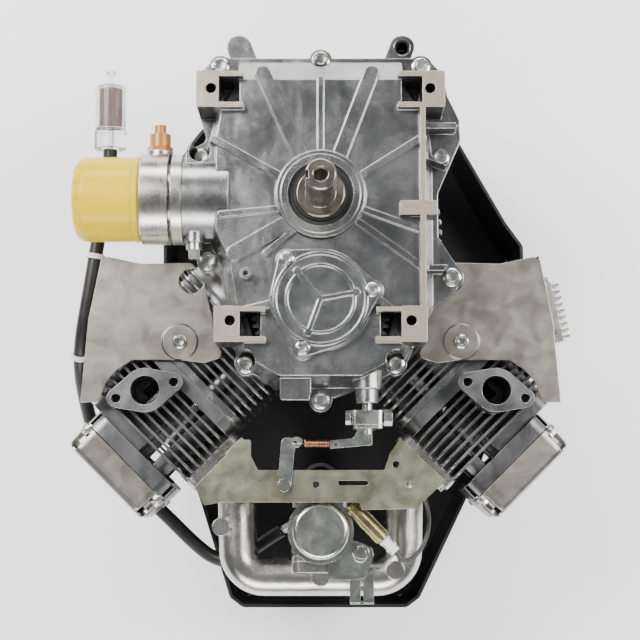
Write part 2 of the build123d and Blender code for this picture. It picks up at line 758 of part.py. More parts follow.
def cylinder_head(side):
    """Head with its combustion chamber, fins, rocker box and the two ports."""
    low = bore_z[side] - 36
    with BuildPart() as piece:
        with BuildSketch(across_bore(side, head_at)):
            with Locations(((head_out + valley) / 2, 0)):
                RectangleRounded(head_out - valley, 2 * fin_half, 14)
        extrude(amount=11)
        with BuildSketch(across_bore(side, head_at + 5)):
            with Locations((-22, 0)):
                RectangleRounded(100, 64, 12)
        extrude(amount=rocker_at - head_at - 5)
        for index in range(7):
            with BuildSketch(across_bore(side, head_at + 16 + index * head_fin_pitch)):
                with Locations(((head_out + valley) / 2, 0)):
                    RectangleRounded(head_out - valley, 2 * fin_half - 6, 12)
            extrude(amount=fin_thickness)
        # rocker box
        with BuildSketch(across_bore(side, rocker_at)):
            with Locations(((cover_low + cover_high) / 2, 0)):
                RectangleRounded(cover_high - cover_low, 2 * box_half, 14)
        extrude(amount=cover_at - 0.8 - rocker_at)
        # exhaust port turns down to its flange
        with BuildSketch(Plane.XY.offset(exhaust_z)):
            with Locations(bank_point(exhaust_along, exhaust_across)):
                Circle(port_radius + 6.5)
                with PolarLocations(stud_reach, 2, start_angle=stud_angle - 45):
                    Circle(8)
            make_hull()
        extrude(amount=11)
        with BuildSketch(Plane.XY.offset(exhaust_z)):
            with Locations(bank_point(exhaust_along, exhaust_across)):
                Circle(port_radius + 6)
        extrude(amount=bore_z[side] - 20 - exhaust_z)
        # intake port opens on the inner side of the V
        with BuildSketch(intake_plane(valley)):
            RectangleRounded(62, 44, 12)
        extrude(amount=26)
        # boss of the spark plug
        with BuildSketch(plug_plane(side, 6)):
            Circle(13)
        extrude(amount=plug_seat - 6)
        # hollows: combustion chamber, valve guides and seats, ports, rocker box, bolts, studs
        with BuildSketch(across_bore(side, head_at)):
            Circle(bore_radius - 1)
        extrude(amount=chamber_depth, taper=25, mode=Mode.SUBTRACT)
        with BuildSketch(across_bore(side, head_at)):
            with Locations((valve_across, valve_spread), (valve_across, -valve_spread)):
                Circle(guide_radius)
            with Locations((pushrod_across, 17), (pushrod_across, -17)):
                Circle(6)
        extrude(amount=100, mode=Mode.SUBTRACT)
        with BuildSketch(across_bore(side, head_at + chamber_depth - 2)):
            with Locations((valve_across, valve_spread)):
                Circle(14)
            with Locations((valve_across, -valve_spread)):
                Circle(12)
        extrude(amount=30, mode=Mode.SUBTRACT)
        with BuildSketch(Plane.XY.offset(exhaust_z - 1)):
            with Locations(bank_point(exhaust_along, exhaust_across)):
                Circle(port_radius)
        extrude(amount=bore_z[side] - valve_spread + 4 - exhaust_z, mode=Mode.SUBTRACT)
        with BuildSketch(intake_plane(valley)):
            Circle(port_radius)
        extrude(amount=valve_across - valley, mode=Mode.SUBTRACT)
        with BuildSketch(across_bore(side, rocker_at - 22)):
            with Locations(((cover_low + cover_high) / 2, 0)):
                RectangleRounded(cover_high - cover_low - 14, 2 * box_half - 18, 8)
        extrude(amount=60, mode=Mode.SUBTRACT)
        # rocker pedestals
        with BuildSketch(across_bore(side, rocker_at - 23)):
            with Locations((rocker_across, 17), (rocker_across, -17)):
                Circle(6)
        extrude(amount=rocker_level - rocker_at + 23)
        with BuildSketch(across_bore(side, head_at)):
            with Locations(*head_bolt_spots):
                Circle(bolt_radius + 0.3)
        extrude(amount=30, mode=Mode.SUBTRACT)
        with BuildSketch(across_bore(side, head_at + 11)):
            with Locations(*head_bolt_spots):
                Circle(9)
        extrude(amount=rocker_at - head_at - 11, mode=Mode.SUBTRACT)
        with BuildSketch(Plane.XY.offset(exhaust_z)):
            with Locations(bank_point(exhaust_along, exhaust_across)):
                with PolarLocations(stud_reach, 2, start_angle=stud_angle - 45):
                    Circle(stud_radius)
        extrude(amount=10, mode=Mode.SUBTRACT)
        with BuildSketch(plug_plane(side, -12)):
            Circle(plug_radius)
        extrude(amount=60, mode=Mode.SUBTRACT)
        with BuildSketch(plug_plane(side, plug_seat)):
            Circle(11)
        extrude(amount=50, mode=Mode.SUBTRACT)
        with BuildSketch(Plane(origin=plug_plane(side, elbow_reach).origin, z_dir=(0, 0, 1))):
            Circle(9)
        extrude(amount=40, mode=Mode.SUBTRACT)
        with BuildSketch(across_bore(side, cover_at - 15)):
            with Locations(*cover_screw_spots):
                Circle(screw_radius)
        extrude(amount=20, mode=Mode.SUBTRACT)
        with BuildSketch(intake_plane(valley)):
            with Locations((24, 0), (-24, 0)):
                Circle(3)
        extrude(amount=14, mode=Mode.SUBTRACT)
    return on_side(piece.part, side)


rocker_across = -38.0
rocker_level = rocker_at + 4
cover_screw_spots = [(cover_low + 5, 32), (cover_low + 5, -32), (cover_high - 5, 32), (cover_high - 5, -32)]


def intake_plane(across):
    """Plane of the intake face of the left head, its z pointing out of the V into the head."""
    origin = bank_point(intake_along, across, intake_z)
    return Plane(origin=origin, x_dir=(1, -1, 0), z_dir=(1, 1, 0))


for side in ("left", "right"):
    head = cylinder_head(side)
    head.label = f"cylinder_head_{side}"
    export_step(head, f"parts/cylinder_head_{side}.step")


def head_gasket(side):
    """Thin sheet between a barrel and its head."""
    with BuildPart() as piece:
        with BuildSketch(across_bore(side, deck_at)):
            with Locations(((head_out + valley) / 2, 0)):
                RectangleRounded(head_out - valley, 2 * fin_half, 14)
            Circle(bore_radius + 0.5, mode=Mode.SUBTRACT)
            with Locations((pushrod_across, 17), (pushrod_across, -17)):
                Circle(tunnel_radius, mode=Mode.SUBTRACT)
            with Locations(*head_bolt_spots):
                Circle(bolt_radius + 0.3, mode=Mode.SUBTRACT)
        extrude(amount=head_at - deck_at)
    return on_side(piece.part, side)


def valve_cover(side):
    """Pressed steel cover with a rolled flange, domed end and four screw dimples."""
    with BuildPart() as piece:
        with BuildSketch(across_bore(side, cover_at)):
            with Locations(((cover_low + cover_high) / 2, 0)):
                RectangleRounded(cover_high - cover_low, 2 * box_half, 14)
        extrude(amount=cover_end - cover_at, taper=3)
        end = piece.faces().sort_by(Axis((0, 0, 0), (1, -1, 0)))[-1]
        fillet(end.edges(), 6)
        with BuildSketch(across_bore(side, cover_at)):
            with Locations(((cover_low + cover_high) / 2, 0)):
                RectangleRounded(cover_high - cover_low - 4, 2 * box_half - 4, 12)
        extrude(amount=cover_end - cover_at - 2, taper=4, mode=Mode.SUBTRACT)
        for spot in cover_screw_spots:
            with BuildSketch(across_bore(side, cover_at)):
                with Locations(spot):
                    Circle(6)
            extrude(amount=4)
            with BuildSketch(across_bore(side, cover_at + 4)):
                with Locations(spot):
                    Circle(6.5)
            extrude(amount=30, mode=Mode.SUBTRACT)
            with BuildSketch(across_bore(side, cover_at + 2.5)):
                with Locations(spot):
                    Circle(7)
                    Circle(6.5, mode=Mode.SUBTRACT)
                with Locations(((cover_low + cover_high) / 2, 0)):
                    Rectangle(cover_high - cover_low - 3, 2 * box_half - 3, mode=Mode.INTERSECT)
            extrude(amount=14)
        with BuildSketch(across_bore(side, cover_at - 1)):
            with Locations(*cover_screw_spots):
                Circle(screw_radius)
        extrude(amount=10, mode=Mode.SUBTRACT)
    return on_side(piece.part, side)


# Gaskets of the two heads and of the joint between the sump and the crankcase
with BuildPart() as gaskets:
    add(head_gasket("left"))
    add(head_gasket("right"))
    with BuildSketch(Plane.XY.offset(joint_z)):
        add(case_outline())
        add(ears(9.5))
        offset(case_outline(), amount=-8, kind=Kind.INTERSECTION, mode=Mode.SUBTRACT)
        with Locations(*sump_bolt_places):
            Circle(bolt_radius + 0.4, mode=Mode.SUBTRACT)
    extrude(amount=case_z - joint_z)
gaskets.part.label = "gaskets"
export_step(gaskets.part, "parts/gaskets.step")

for side in ("left", "right"):
    cover = valve_cover(side)
    cover.label = f"valve_cover_{side}"
    export_step(cover, f"parts/valve_cover_{side}.step")

# Valve train: intake valve above, exhaust valve below, closed at rest
valve_tip = rocker_at + 4.0
valve_plane_at = head_at + chamber_depth


def valve_train(side):
    """Valves, springs, rockers and pushrods of one cylinder, in that order."""
    with BuildPart() as valves_piece:
        for spread, radius in ((valve_spread, 15.5), (-valve_spread, 13.5)):
            with BuildSketch(across_bore(side, valve_plane_at - 3.5)):
                with Locations((valve_across, spread)):
                    Circle(radius - 2.5)
            extrude(amount=1.5)
            with BuildSketch(across_bore(side, valve_plane_at - 3.5)):
                with Locations((valve_across, spread)):
                    Circle(guide_radius - running_gap)
            extrude(amount=valve_tip - valve_plane_at + 3.5)
            with BuildSketch(across_bore(side, valve_tip - 5)):
                with Locations((valve_across, spread)):
                    Circle(9)
            extrude(amount=2)
    with BuildPart() as springs_piece:
        for spread in (valve_spread, -valve_spread):
            for level in range(5):
                with BuildSketch(across_bore(side, rocker_at - 21.5 + level * 4)):
                    with Locations((valve_across, spread)):
                        Circle(9)
                        Circle(6.6, mode=Mode.SUBTRACT)
                extrude(amount=2.4)
            with BuildSketch(across_bore(side, rocker_at - 21.5)):
                with Locations((valve_across + 7.8, spread), (valve_across - 7.8, spread)):
                    Circle(0.9)
            extrude(amount=18)
    with BuildPart() as rockers_piece:
        for spread, cup in ((valve_spread, 17), (-valve_spread, -17)):
            with BuildSketch(across_bore(side, rocker_level + 0.1)):
                rib((valve_across, spread), (rocker_across, cup), 9)
                rib((rocker_across, cup), (pushrod_across, cup), 9)
            extrude(amount=5)
    with BuildPart() as pushrods_piece:
        for spread in (17, -17):
            with BuildSketch(across_bore(side, -pushrod_across + base_circle + 0.1)):
                with Locations((pushrod_across, spread)):
                    Circle(7.4)
            extrude(amount=3)
            with BuildSketch(across_bore(side, -pushrod_across + base_circle + 3)):
                with Locations((pushrod_across, spread)):
                    Circle(6.5)
            extrude(amount=36)
            with BuildSketch(across_bore(side, -pushrod_across + base_circle + 38)):
                with Locations((pushrod_across, spread)):
                    Circle(3.5)
            extrude(amount=rocker_level - (-pushrod_across + base_circle + 38))
    pieces = (valves_piece, springs_piece, rockers_piece, pushrods_piece)
    return [on_side(piece.part, side) for piece in pieces]


left_train = valve_train("left")
right_train = valve_train("right")
for name, left_piece, right_piece in zip(
    ("valves", "valve_springs", "rocker_arms", "pushrods"), left_train, right_train
):
    with BuildPart() as pair:
        add(left_piece)
        add(right_piece)
    pair.part.label = name
    export_step(pair.part, f"parts/{name}.step")

# Flange bolts of one size join the sump and the heads
def bank_bolts(side, spots, seat_at, length, radius):
    """Bolts along the bore, with their seats at one distance and pointing at the crankshaft."""
    with BuildPart() as piece:
        for across, height in spots:
            seat = bank_point(seat_at, across, bore_z[side] + height)
            add(bolt(radius, length, tuple(seat), (-1, 1, 0)))
    return on_side(piece.part, side)


with BuildPart() as flange_bolts:
    for x, y in sump_bolt_places:
        add(bolt(bolt_radius, bolt_length, (x, y, flange_z)))
    for side in ("left", "right"):
        add(bank_bolts(side, head_bolt_spots, head_at + 11, bolt_length, bolt_radius))
flange_bolts.part.label = "flange_bolts"
export_step(flange_bolts.part, "parts/flange_bolts.step")

# Small screws of one size hold the pump cover, valve covers, shields and intake manifold
manifold_flange = 10.0


def manifold_screw_pair(side):
    """Two screws through the manifold's flange into the head."""
    with BuildPart() as piece:
        for reach in (24, -24):
            seat = bank_point(intake_along + reach, valley - manifold_flange, intake_z)
            add(bolt(screw_radius, manifold_flange + 12, tuple(seat), (1, 1, 0)))
    return on_side(piece.part, side)


with BuildPart() as small_screws:
    for angle in pump_bolt_angles:
        spot = Vector(0, cam_y) + Vector(pump_bolt_circle, 0).rotate(Axis.Z, angle)
        add(bolt(screw_radius, 12, (spot.X, spot.Y, seat_z - 4.5)))
    for side in ("left", "right"):
        add(bank_bolts(side, cover_screw_spots, cover_at + 4, 12, screw_radius))
        seat = bank_point(*screw_seat)
        add(on_side(bolt(screw_radius, 12, (seat.X, seat.Y, shield_z - 1.8)), side))
        add(manifold_screw_pair(side))
small_screws.part.label = "small_screws"
export_step(small_screws.part, "parts/small_screws.step")

# Spark plugs with their boots and leads
lead_radius = 3.5
lead_top_z = 206.0
lead_spot = plug_plane("left", elbow_reach).origin


def spark_plug(side):
    """Threaded shell, hexagon, insulator and terminal in line."""
    with BuildPart() as piece:
        for low, high, radius in ((-8, 14, 7), (20, 38, 5.5), (38, 46, 3)):
            with BuildSketch(plug_plane(side, low)):
                Circle(radius)
            extrude(amount=high - low)
        with BuildSketch(plug_plane(side, 14)):
            RegularPolygon(9, 6)
        extrude(amount=6)
    return on_side(piece.part, side)


def plug_boot(side):
    """Rubber boot over the insulator, with its elbow for the lead."""
    with BuildPart() as piece:
        with BuildSketch(plug_plane(side, 24)):
            Circle(8.5)
        extrude(amount=34, taper=2)
        boot_end = plug_plane(side, elbow_reach).origin
        with BuildSketch(Plane(origin=boot_end, z_dir=(0, 0, 1))):
            Circle(7)
        extrude(amount=20, taper=3)
        for low, high, radius in ((20, 38, 5.5), (38, 46, 3)):
            with BuildSketch(plug_plane(side, low)):
                Circle(radius)
            extrude(amount=high - low, mode=Mode.SUBTRACT)
    return on_side(piece.part, side)


def plug_lead(side):
    """Ignition lead from the top of the boot up into the blower housing."""
    start = plug_plane(side, elbow_reach).origin + Vector(0, 0, 20)
    with BuildPart() as piece:
        with BuildSketch(Plane(origin=start, z_dir=(0, 0, 1))):
            Circle(lead_radius)
        extrude(amount=lead_top_z - start.Z)
    return on_side(piece.part, side)


plug_pair = Compound(label="spark_plugs", children=[spark_plug("left"), spark_plug("right")])
export_step(plug_pair, "parts/spark_plugs.step")
lead_pieces = [make(side) for side in ("left", "right") for make in (plug_boot, plug_lead)]
export_step(Compound(label="plug_leads", children=lead_pieces), "parts/plug_leads.step")
print("plug lead lengths", [round(lead_top_z - plug_plane(side, elbow_reach).origin.Z - 20, 1) for side in ("left", "right")])

# Cylinder shields: pressed sheet with a rolled outer edge and a round embossed screw seat
def shield(side):
    """Sheet under one barrel, with its outer edge turned up round the fins."""
    with BuildPart() as piece:
        with BuildSketch(Plane.XY.offset(shield_z)) as sheet_outline:
            Polygon(
                (189, -43),
                (156, -50),
                (113, -49),
                (103, -59),
                (93.5, -99),
                (92.5, -117),
                (83, -131),
                (101, -136.5),
                (122, -134),
                (163, -134),
                (176, -142),
                (185.5, -153),
                (192, -170.5),
                (206, -170.5),
                (200, -99),
                align=None,
            )
            fillet(sheet_outline.vertices().sort_by(Axis.X)[:-2], 5)
        extrude(amount=sheet)
        # notch round a sump bolt
        with BuildSketch(Plane.XY.offset(shield_z - 1)):
            with Locations((112.5, -65)):
                Circle(11)
        extrude(amount=sheet + 2, mode=Mode.SUBTRACT)
        # relief for the crankcase flange, which meets the sheet on the right only
        if side == "right":
            with BuildSketch(Plane.XY.offset(shield_z - 1)):
                with Locations(shield_relief_spot):
                    Rectangle(*shield_relief_size)
            extrude(amount=sheet + 2, mode=Mode.SUBTRACT)
        # outer edge rises in a rolled wall, low beside the head's fins
        with BuildSketch(Plane.XY.offset(shield_z)):
            Polygon(
                (189, -43), (200, -99), (206, -170.5), (207.6, -170.4), (201.6, -98.8), (190.6, -42.7), align=None
            )
        extrude(amount=6)
        with BuildSketch(Plane.XY.offset(shield_z)):
            Polygon(
                (189, -43), (200, -99), (202.2, -125), (203.8, -125), (201.6, -98.8), (190.6, -42.7), align=None
            )
        extrude(amount=44)
        with BuildSketch(Plane.XY.offset(shield_z)):
            with Locations(bank_point(*screw_seat)):
                Circle(16)
        extrude(amount=-1.8, taper=35)
        with BuildSketch(Plane.XY.offset(shield_z - 5)):
            with Locations(bank_point(*screw_seat)):
                Circle(screw_radius)
        extrude(amount=10, mode=Mode.SUBTRACT)
    return on_side(piece.part, side)


for side in ("left", "right"):
    panel = shield(side)
    panel.label = f"cylinder_shield_{side}"
    export_step(panel, f"parts/cylinder_shield_{side}.step")

# Oil filter on its adapter, lying along X
filter_y, filter_z = 1.5, 42.0
filter_radius = 37.3


def turned_x(x_low, x_high, radius, y=filter_y, z=filter_z):
    """Plain disc lying along X, added to the part in progress."""
    with BuildSketch(Plane.YZ.offset(x_low)) as disc:
        with Locations((y, z)):
            Circle(radius)
    extrude(disc.sketch, amount=x_high - x_low)


with BuildPart() as filter_adapter:
    turned_x(117, 153.5, 39)
    chamfer(filter_adapter.faces().sort_by(Axis.X)[-1].edges(), 1.5)
    turned_x(103, 117, 14)
    with BuildSketch(Plane.YZ.offset(126)):
        with Locations((filter_y, filter_z)):
            Circle(41)
            Circle(30, mode=Mode.SUBTRACT)
    extrude(amount=3, mode=Mode.SUBTRACT)
    # boss of the pressure switch on its upper side
    with BuildSketch(Plane.XZ.offset(-30)):
        with Locations((138, filter_z)):
            Circle(11)
    extrude(amount=-13)
    with BuildSketch(Plane.XZ.offset(-30)):
        with Locations((138, filter_z)):
            Circle(5)
    extrude(amount=-20, mode=Mode.SUBTRACT)
filter_adapter.part.label = "filter_adapter"
export_step(filter_adapter.part, "parts/filter_adapter.step")

with BuildPart() as oil_filter:
    turned_x(153.7, 159.7, filter_radius - 0.5)
    fillet(oil_filter.faces().sort_by(Axis.X)[0].edges(), 1)
    turned_x(159.7, 211, filter_radius - 0.9)
    fillet(oil_filter.faces().sort_by(Axis.X)[-1].edges(), 8)
oil_filter.part.label = "oil_filter"
export_step(oil_filter.part, "parts/oil_filter.step")

with BuildPart() as oil_pressure_switch:
    for low, high, radius in ((34, 43, 5), (47, 58, 9), (58, 66, 5)):
        with BuildSketch(Plane.XZ.offset(-low)):
            with Locations((138, filter_z)):
                Circle(radius)
        extrude(amount=low - high)
    with BuildSketch(Plane.XZ.offset(-43)):
        with Locations((138, filter_z)):
            RegularPolygon(11, 6)
    extrude(amount=-4)
oil_pressure_switch.part.label = "oil_pressure_switch"
export_step(oil_pressure_switch.part, "parts/oil_pressure_switch.step")

# Square-headed drain plug and a small taper plug in the sump's face
with BuildPart() as pipe_plugs:
    with BuildSketch(Plane.XZ.offset(drain_face)):
        with Locations(drain_spot):
            Circle(7)
    extrude(amount=6)
    with BuildSketch(Plane.XZ.offset(drain_face + 6)):
        with Locations(drain_spot):
            Rectangle(9, 9)
    extrude(amount=8)
    with BuildSketch(Plane.XY.offset(panel_z - 5)):
        with Locations((62.5, -67)):
            Circle(5)
            RegularPolygon(2.6, 6, mode=Mode.SUBTRACT)
    extrude(amount=5)
pipe_plugs.part.label = "pipe_plugs"
export_step(pipe_plugs.part, "parts/pipe_plugs.step")

# Intake manifold: a flange on each head and a U of pipe between them
runner_radius = 17.0
runner_bore = 12.5
runner_x, runner_y = 73.0, -322.0


def manifold_half(radius):
    """Left half of the U as a solid pipe, from the head to the plane X = 0."""
    start = bank_point(intake_along, valley - manifold_flange, intake_z)
    with BuildPart() as piece:
        with BuildLine() as route:
            FilletPolyline(
                tuple(start),
                (runner_x + 2, start.Y - (start.X - runner_x - 2), intake_z),
                (runner_x, runner_y, intake_z),
                (0, runner_y, intake_z),
                radius=(14, 24),
            )
        with BuildSketch(Plane(origin=start, z_dir=route.line % 0)):
            Circle(radius)
        sweep(path=route.line)
    return piece.part


def manifold_flange_plate(solid):
    """Flange against the left head, or the holes that are cut through it."""
    with BuildPart() as piece:
        with BuildSketch(intake_plane(valley)):
            if solid:
                RectangleRounded(62, 44, 10)
            else:
                Circle(runner_bore)
                with Locations((24, 0), (-24, 0)):
                    Circle(3)
        extrude(amount=-manifold_flange)
    return piece.part


outer_half = manifold_half(runner_radius)
inner_half = manifold_half(runner_bore)
flange_half = manifold_flange_plate(True)
flange_holes = manifold_flange_plate(False)
with BuildPart() as intake_manifold:
    for half in (outer_half, flange_half):
        add(half)
        mirror(half, about=Plane.YZ)
    # neck that carries the carburettor, and small cast bosses
    with BuildSketch(Plane.XZ.offset(308)):
        with Locations((0, intake_z)):
            RectangleRounded(52, 40, 8)
    extrude(amount=10)
    with BuildSketch(Plane.XY.offset(intake_z - runner_radius - 2)):
        with Locations((88, -278), (0, runner_y), (-66, -316)):
            Circle(8)
    extrude(amount=14)
    for half in (inner_half, flange_holes):
        add(half, mode=Mode.SUBTRACT)
        mirror(half, about=Plane.YZ, mode=Mode.SUBTRACT)
    with BuildSketch(Plane.XZ.offset(300)):
        with Locations((0, intake_z)):
            Circle(runner_bore)
    extrude(amount=20, mode=Mode.SUBTRACT)
    # flat that the carburettor's flange bears on
    with BuildSketch(Plane.XZ.offset(300)):
        with Locations((0, intake_z)):
            Rectangle(56, 44)
    extrude(amount=8, mode=Mode.SUBTRACT)
intake_manifold.part.label = "intake_manifold"
export_step(intake_manifold.part, "parts/intake_manifold.step")


# Carburettor in the middle of the U, its throat along Y
throttle_y, choke_y = -294.0, -267.0
shaft_gap = 0.05
fuel_inlet = Vector(34, -281, 150)
inlet_way = Vector(-18, 11, -8).normalized()
with BuildPart() as carburetor:
    with BuildSketch(Plane.XZ.offset(256)):
        with Locations((0, intake_z)):
            RectangleRounded(50, 38, 8)
    extrude(amount=5)
    with BuildSketch(Plane.XZ.offset(303)):
        with Locations((0, intake_z)):
            RectangleRounded(52, 40, 8)
    extrude(amount=5)
    with BuildSketch(Plane.XZ.offset(260)):
        with Locations((0, intake_z)):
            Circle(19)
    extrude(amount=44)
    # seat of the bowl below the throat
    with BuildSketch(Plane.XY.offset(104)):
        with Locations((0, -281)):
            Circle(24.5)
    extrude(amount=16)
    for y in (throttle_y, choke_y):
        with BuildSketch(Plane.XY.offset(112)):
            with Locations((0, y)):
                Circle(7)
        extrude(amount=46)
    for reach, radius in ((22, 7), (28, 4)):
        with BuildSketch(Plane(origin=fuel_inlet + inlet_way * 28, z_dir=-inlet_way)):
            Circle(radius)
        extrude(amount=reach if radius < 5 else 14)
    with BuildSketch(Plane.XZ.offset(250)):
        with Locations((0, intake_z)):
            Circle(runner_bore)
    extrude(amount=70, mode=Mode.SUBTRACT)
    with BuildSketch(Plane.XY.offset(100)):
        with Locations((0, throttle_y), (0, choke_y)):
            Circle(3 + shaft_gap)
    extrude(amount=70, mode=Mode.SUBTRACT)
    with BuildSketch(Plane(origin=fuel_inlet, z_dir=inlet_way)):
        Circle(2.2)
    extrude(amount=24, mode=Mode.SUBTRACT)
carburetor.part.label = "carburetor"
export_step(carburetor.part, "parts/carburetor.step")

bowl_low = 80.0
with BuildPart() as float_bowl:
    with BuildSketch(Plane.XY.offset(bowl_low)):
        with Locations((0, -281)):
            Circle(25)
    extrude(amount=104 - bowl_low)
    fillet(float_bowl.faces().sort_by(Axis.Z)[0].edges(), 5)
    with BuildSketch(Plane.XY.offset(100)):
        with Locations((0, -281)):
            Circle(29)
    extrude(amount=4)
    with BuildSketch(Plane.XY.offset(bowl_low + 2.5)):
        with Locations((0, -281)):
            Circle(22.5)
    extrude(amount=30, mode=Mode.SUBTRACT)
    with BuildSketch(Plane.XY.offset(92)):
        with Locations((0, throttle_y), (0, choke_y)):
            Circle(6)
    extrude(amount=30, mode=Mode.SUBTRACT)
float_bowl.part.label = "float_bowl"
export_step(float_bowl.part, "parts/float_bowl.step")


def butterfly(y, lever_z, reach, plate_turn):
    """Shaft with a round plate in the throat and a lever on its upper end."""
    with BuildPart() as piece:
        with BuildSketch(Plane.XY.offset(109)):
            with Locations((0, y)):
                Circle(3)
        extrude(amount=lever_z + 2 - 109)
        with BuildSketch(Plane.XY.offset(lever_z)):
            rib((0, y), reach, 9)
            with Locations(reach):
                Circle(1.2, mode=Mode.SUBTRACT)
        extrude(amount=2)
        plate = Plane(origin=(0, y, intake_z), z_dir=(sin(radians(plate_turn)), cos(radians(plate_turn)), 0))
        with BuildSketch(plate.offset(-0.8)):
            Circle(runner_bore - 0.4)
        extrude(amount=1.6)
    return piece.part


throttle_shaft = butterfly(throttle_y, 163, (22, throttle_y - 6), 75)
throttle_shaft.label = "throttle_shaft"
export_step(throttle_shaft, "parts/throttle_shaft.step")
choke_shaft = butterfly(choke_y, 160, (-20, choke_y + 4), 80)
choke_shaft.label = "choke_shaft"
export_step(choke_shaft, "parts/choke_shaft.step")

# Fuel shut-off solenoid lying across the V below the carburettor, with its lead
solenoid_z = 85.0
solenoid_start = Vector(-28, -261, solenoid_z)
solenoid_way = Vector(-23.3, -24, 0).normalized()


def along_solenoid(reach):
    """Plane square to the solenoid at a reach along it."""
    return Plane(origin=solenoid_start + solenoid_way * reach, z_dir=solenoid_way)


with BuildPart() as fuel_solenoid:
    for low, high, radius in ((0, 36, 7.3), (-3, 0, 5), (36, 38, 6)):
        with BuildSketch(along_solenoid(low)):
            Circle(radius)
        extrude(amount=high - low)
fuel_solenoid.part.label = "fuel_solenoid"
export_step(fuel_solenoid.part, "parts/fuel_solenoid.step")

wire_radius = 1.8
with BuildPart() as solenoid_connector:
    with BuildSketch(along_solenoid(38)):
        RectangleRounded(11, 9, 2)
    extrude(amount=15)

wire_start = along_solenoid(53).origin
wire_points = [
    tuple(wire_start),
    (-71, -309, 86),
    (-83, -303, 90),
    (-92, -289, 94),
    (-95, -272, 94),
    (-92, -257, 90),
    (-86, -242.5, 82),
    (-84.5, -240, 70.4),
]


def tube(points, name, section):
    """Round tube of straight runs and tangent arcs, each arc as large as its two runs allow."""
    corners = [Vector(*point) for point in points]
    radii = []
    for before, corner, after in zip(corners, corners[1:], corners[2:]):
        turn = radians((corner - before).get_angle(after - corner))
        shorter = min((corner - before).length, (after - corner).length)
        radii.append(0.45 * shorter / tan(turn / 2))
    with BuildPart() as piece:
        with BuildLine() as route:
            FilletPolyline(*points, radius=radii)
        with BuildSketch(Plane(origin=points[0], z_dir=corners[1] - corners[0])):
            Circle(section)
        sweep(path=route.line)
    run = sum(edge.length for edge in route.edges())
    print(name, "length", round(run, 1), "radii", [round(r) for r in radii])
    print("volume", round(piece.part.volume), "expected", round(run * pi * section**2))
    return piece.part


solenoid_wire = tube(wire_points, "solenoid lead", wire_radius)
solenoid_lead = Compound(label="solenoid_lead", children=[solenoid_wire, solenoid_connector.part])
export_step(solenoid_lead, "parts/solenoid_lead.step")

# Control bracket: flat plate across the V with a flange up to each manifold flange
bracket_z = 68.0
bracket_sheet = 2.0
with BuildPart() as control_bracket:
    with BuildSketch(Plane.XY.offset(bracket_z)) as plate:
        Polygon(
            (68, -203),
            (60, -203),
            (60, -217),
            (54, -229),
            (-55, -229),
            (-60, -214),
            (-68.5, -202),
            (-107, -238),
            (-86, -258),
            (-83, -262),
            (-35, -263),
            (-33, -256.5),
            (86, -256.5),
            (100, -259),
            (108, -243),
            align=None,
        )
        fillet(plate.vertices(), 2)
        with Locations((31, -241.8), (4, -241.3), (-76.4, -241.3), (-64.8, -224.2)):
            Circle(3, mode=Mode.SUBTRACT)
        with Locations((-28, -240)):
            SlotCenterToCenter(22, 4, mode=Mode.SUBTRACT)
    extrude(amount=bracket_sheet)
    # turned-up front lip
    with BuildSketch(Plane.XY.offset(bracket_z)):
        with Locations((26, -255.5)):
            Rectangle(116, bracket_sheet)
    extrude(amount=9)
    for x_sign in (1, -1):
        foot = bank_point(200, valley - manifold_flange - 1)
        with BuildSketch(Plane.XY.offset(bracket_z)):
            with Locations((x_sign * foot.X, foot.Y)):
                Rectangle(20, bracket_sheet, rotation=x_sign * -45)
        extrude(amount=intake_z - 14 - bracket_z)
control_bracket.part.label = "control_bracket"
export_step(control_bracket.part, "parts/control_bracket.step")

# Governor shaft and lever turn about one axis along Y
governor_x, governor_z = -39.0, 30.0
with BuildPart() as governor_lever:
    with BuildSketch(Plane.XZ.offset(120)):
        with Locations((governor_x, governor_z)):
            Circle(4.5)
    extrude(amount=80)
    # clamp block and the arm that rises towards the carburettor
    with BuildSketch(Plane.XZ.offset(180)):
        with Locations((governor_x, governor_z)):
            RectangleRounded(28, 13, 5)
    extrude(amount=12)
    with BuildSketch(Plane.XZ.offset(192)) as arm:
        Polygon((-52, 24), (-27, 24), (-27, 40), (-31, 60), (-31, 100), (-47, 100), (-47, 60), (-52, 40), align=None)
        fillet(arm.vertices(), 4)
        with Locations((-39, 92), (-39, 82)):
            Circle(1.6, mode=Mode.SUBTRACT)
    extrude(amount=3)
    # ear that the spring hooks into
    with BuildSketch(Plane.XY.offset(58)):
        Polygon((-44, -192), (-34, -192), (-28, -202), (-8, -204), (-8, -211), (-44, -208), align=None)
        with Locations((-13, -207)):
            Circle(1.6, mode=Mode.SUBTRACT)
    extrude(amount=2.5)

with BuildPart() as governor_clamp_bolt:
    with BuildSketch(Plane.YZ.offset(-53)):
        with Locations((-186, governor_z)):
            RegularPolygon(7, 6)
    extrude(amount=-7)
    with BuildSketch(Plane.YZ.offset(-25)):
        with Locations((-186, governor_z)):
            RegularPolygon(6, 6)
    extrude(amount=4)
clamped_lever = Compound(label="governor_lever", children=[governor_lever.part, governor_clamp_bolt.part])
export_step(clamped_lever, "parts/governor_lever.step")

# Control lever pivots on the bracket; the governor spring runs between it and the governor ear
control_pivot = (31.0, -241.8)
with BuildPart() as control_lever:
    with BuildSketch(Plane.XY.offset(bracket_z - 2.5)):
        rib(control_pivot, (28, -207), 12)
        rib((28, -207), (20, -205), 9)
        with Locations((22, -205.5)):
            Circle(1.6, mode=Mode.SUBTRACT)
    extrude(amount=2)
    with BuildSketch(Plane.XY.offset(bracket_z - 5)):
        with Locations(control_pivot):
            Circle(5.5)
    extrude(amount=2.5)
    with BuildSketch(Plane.XY.offset(bracket_z - 5)):
        with Locations(control_pivot):
            Circle(3 - 0.05)
    extrude(amount=5 + bracket_sheet)
control_lever.part.label = "control_lever"
export_step(control_lever.part, "parts/control_lever.step")

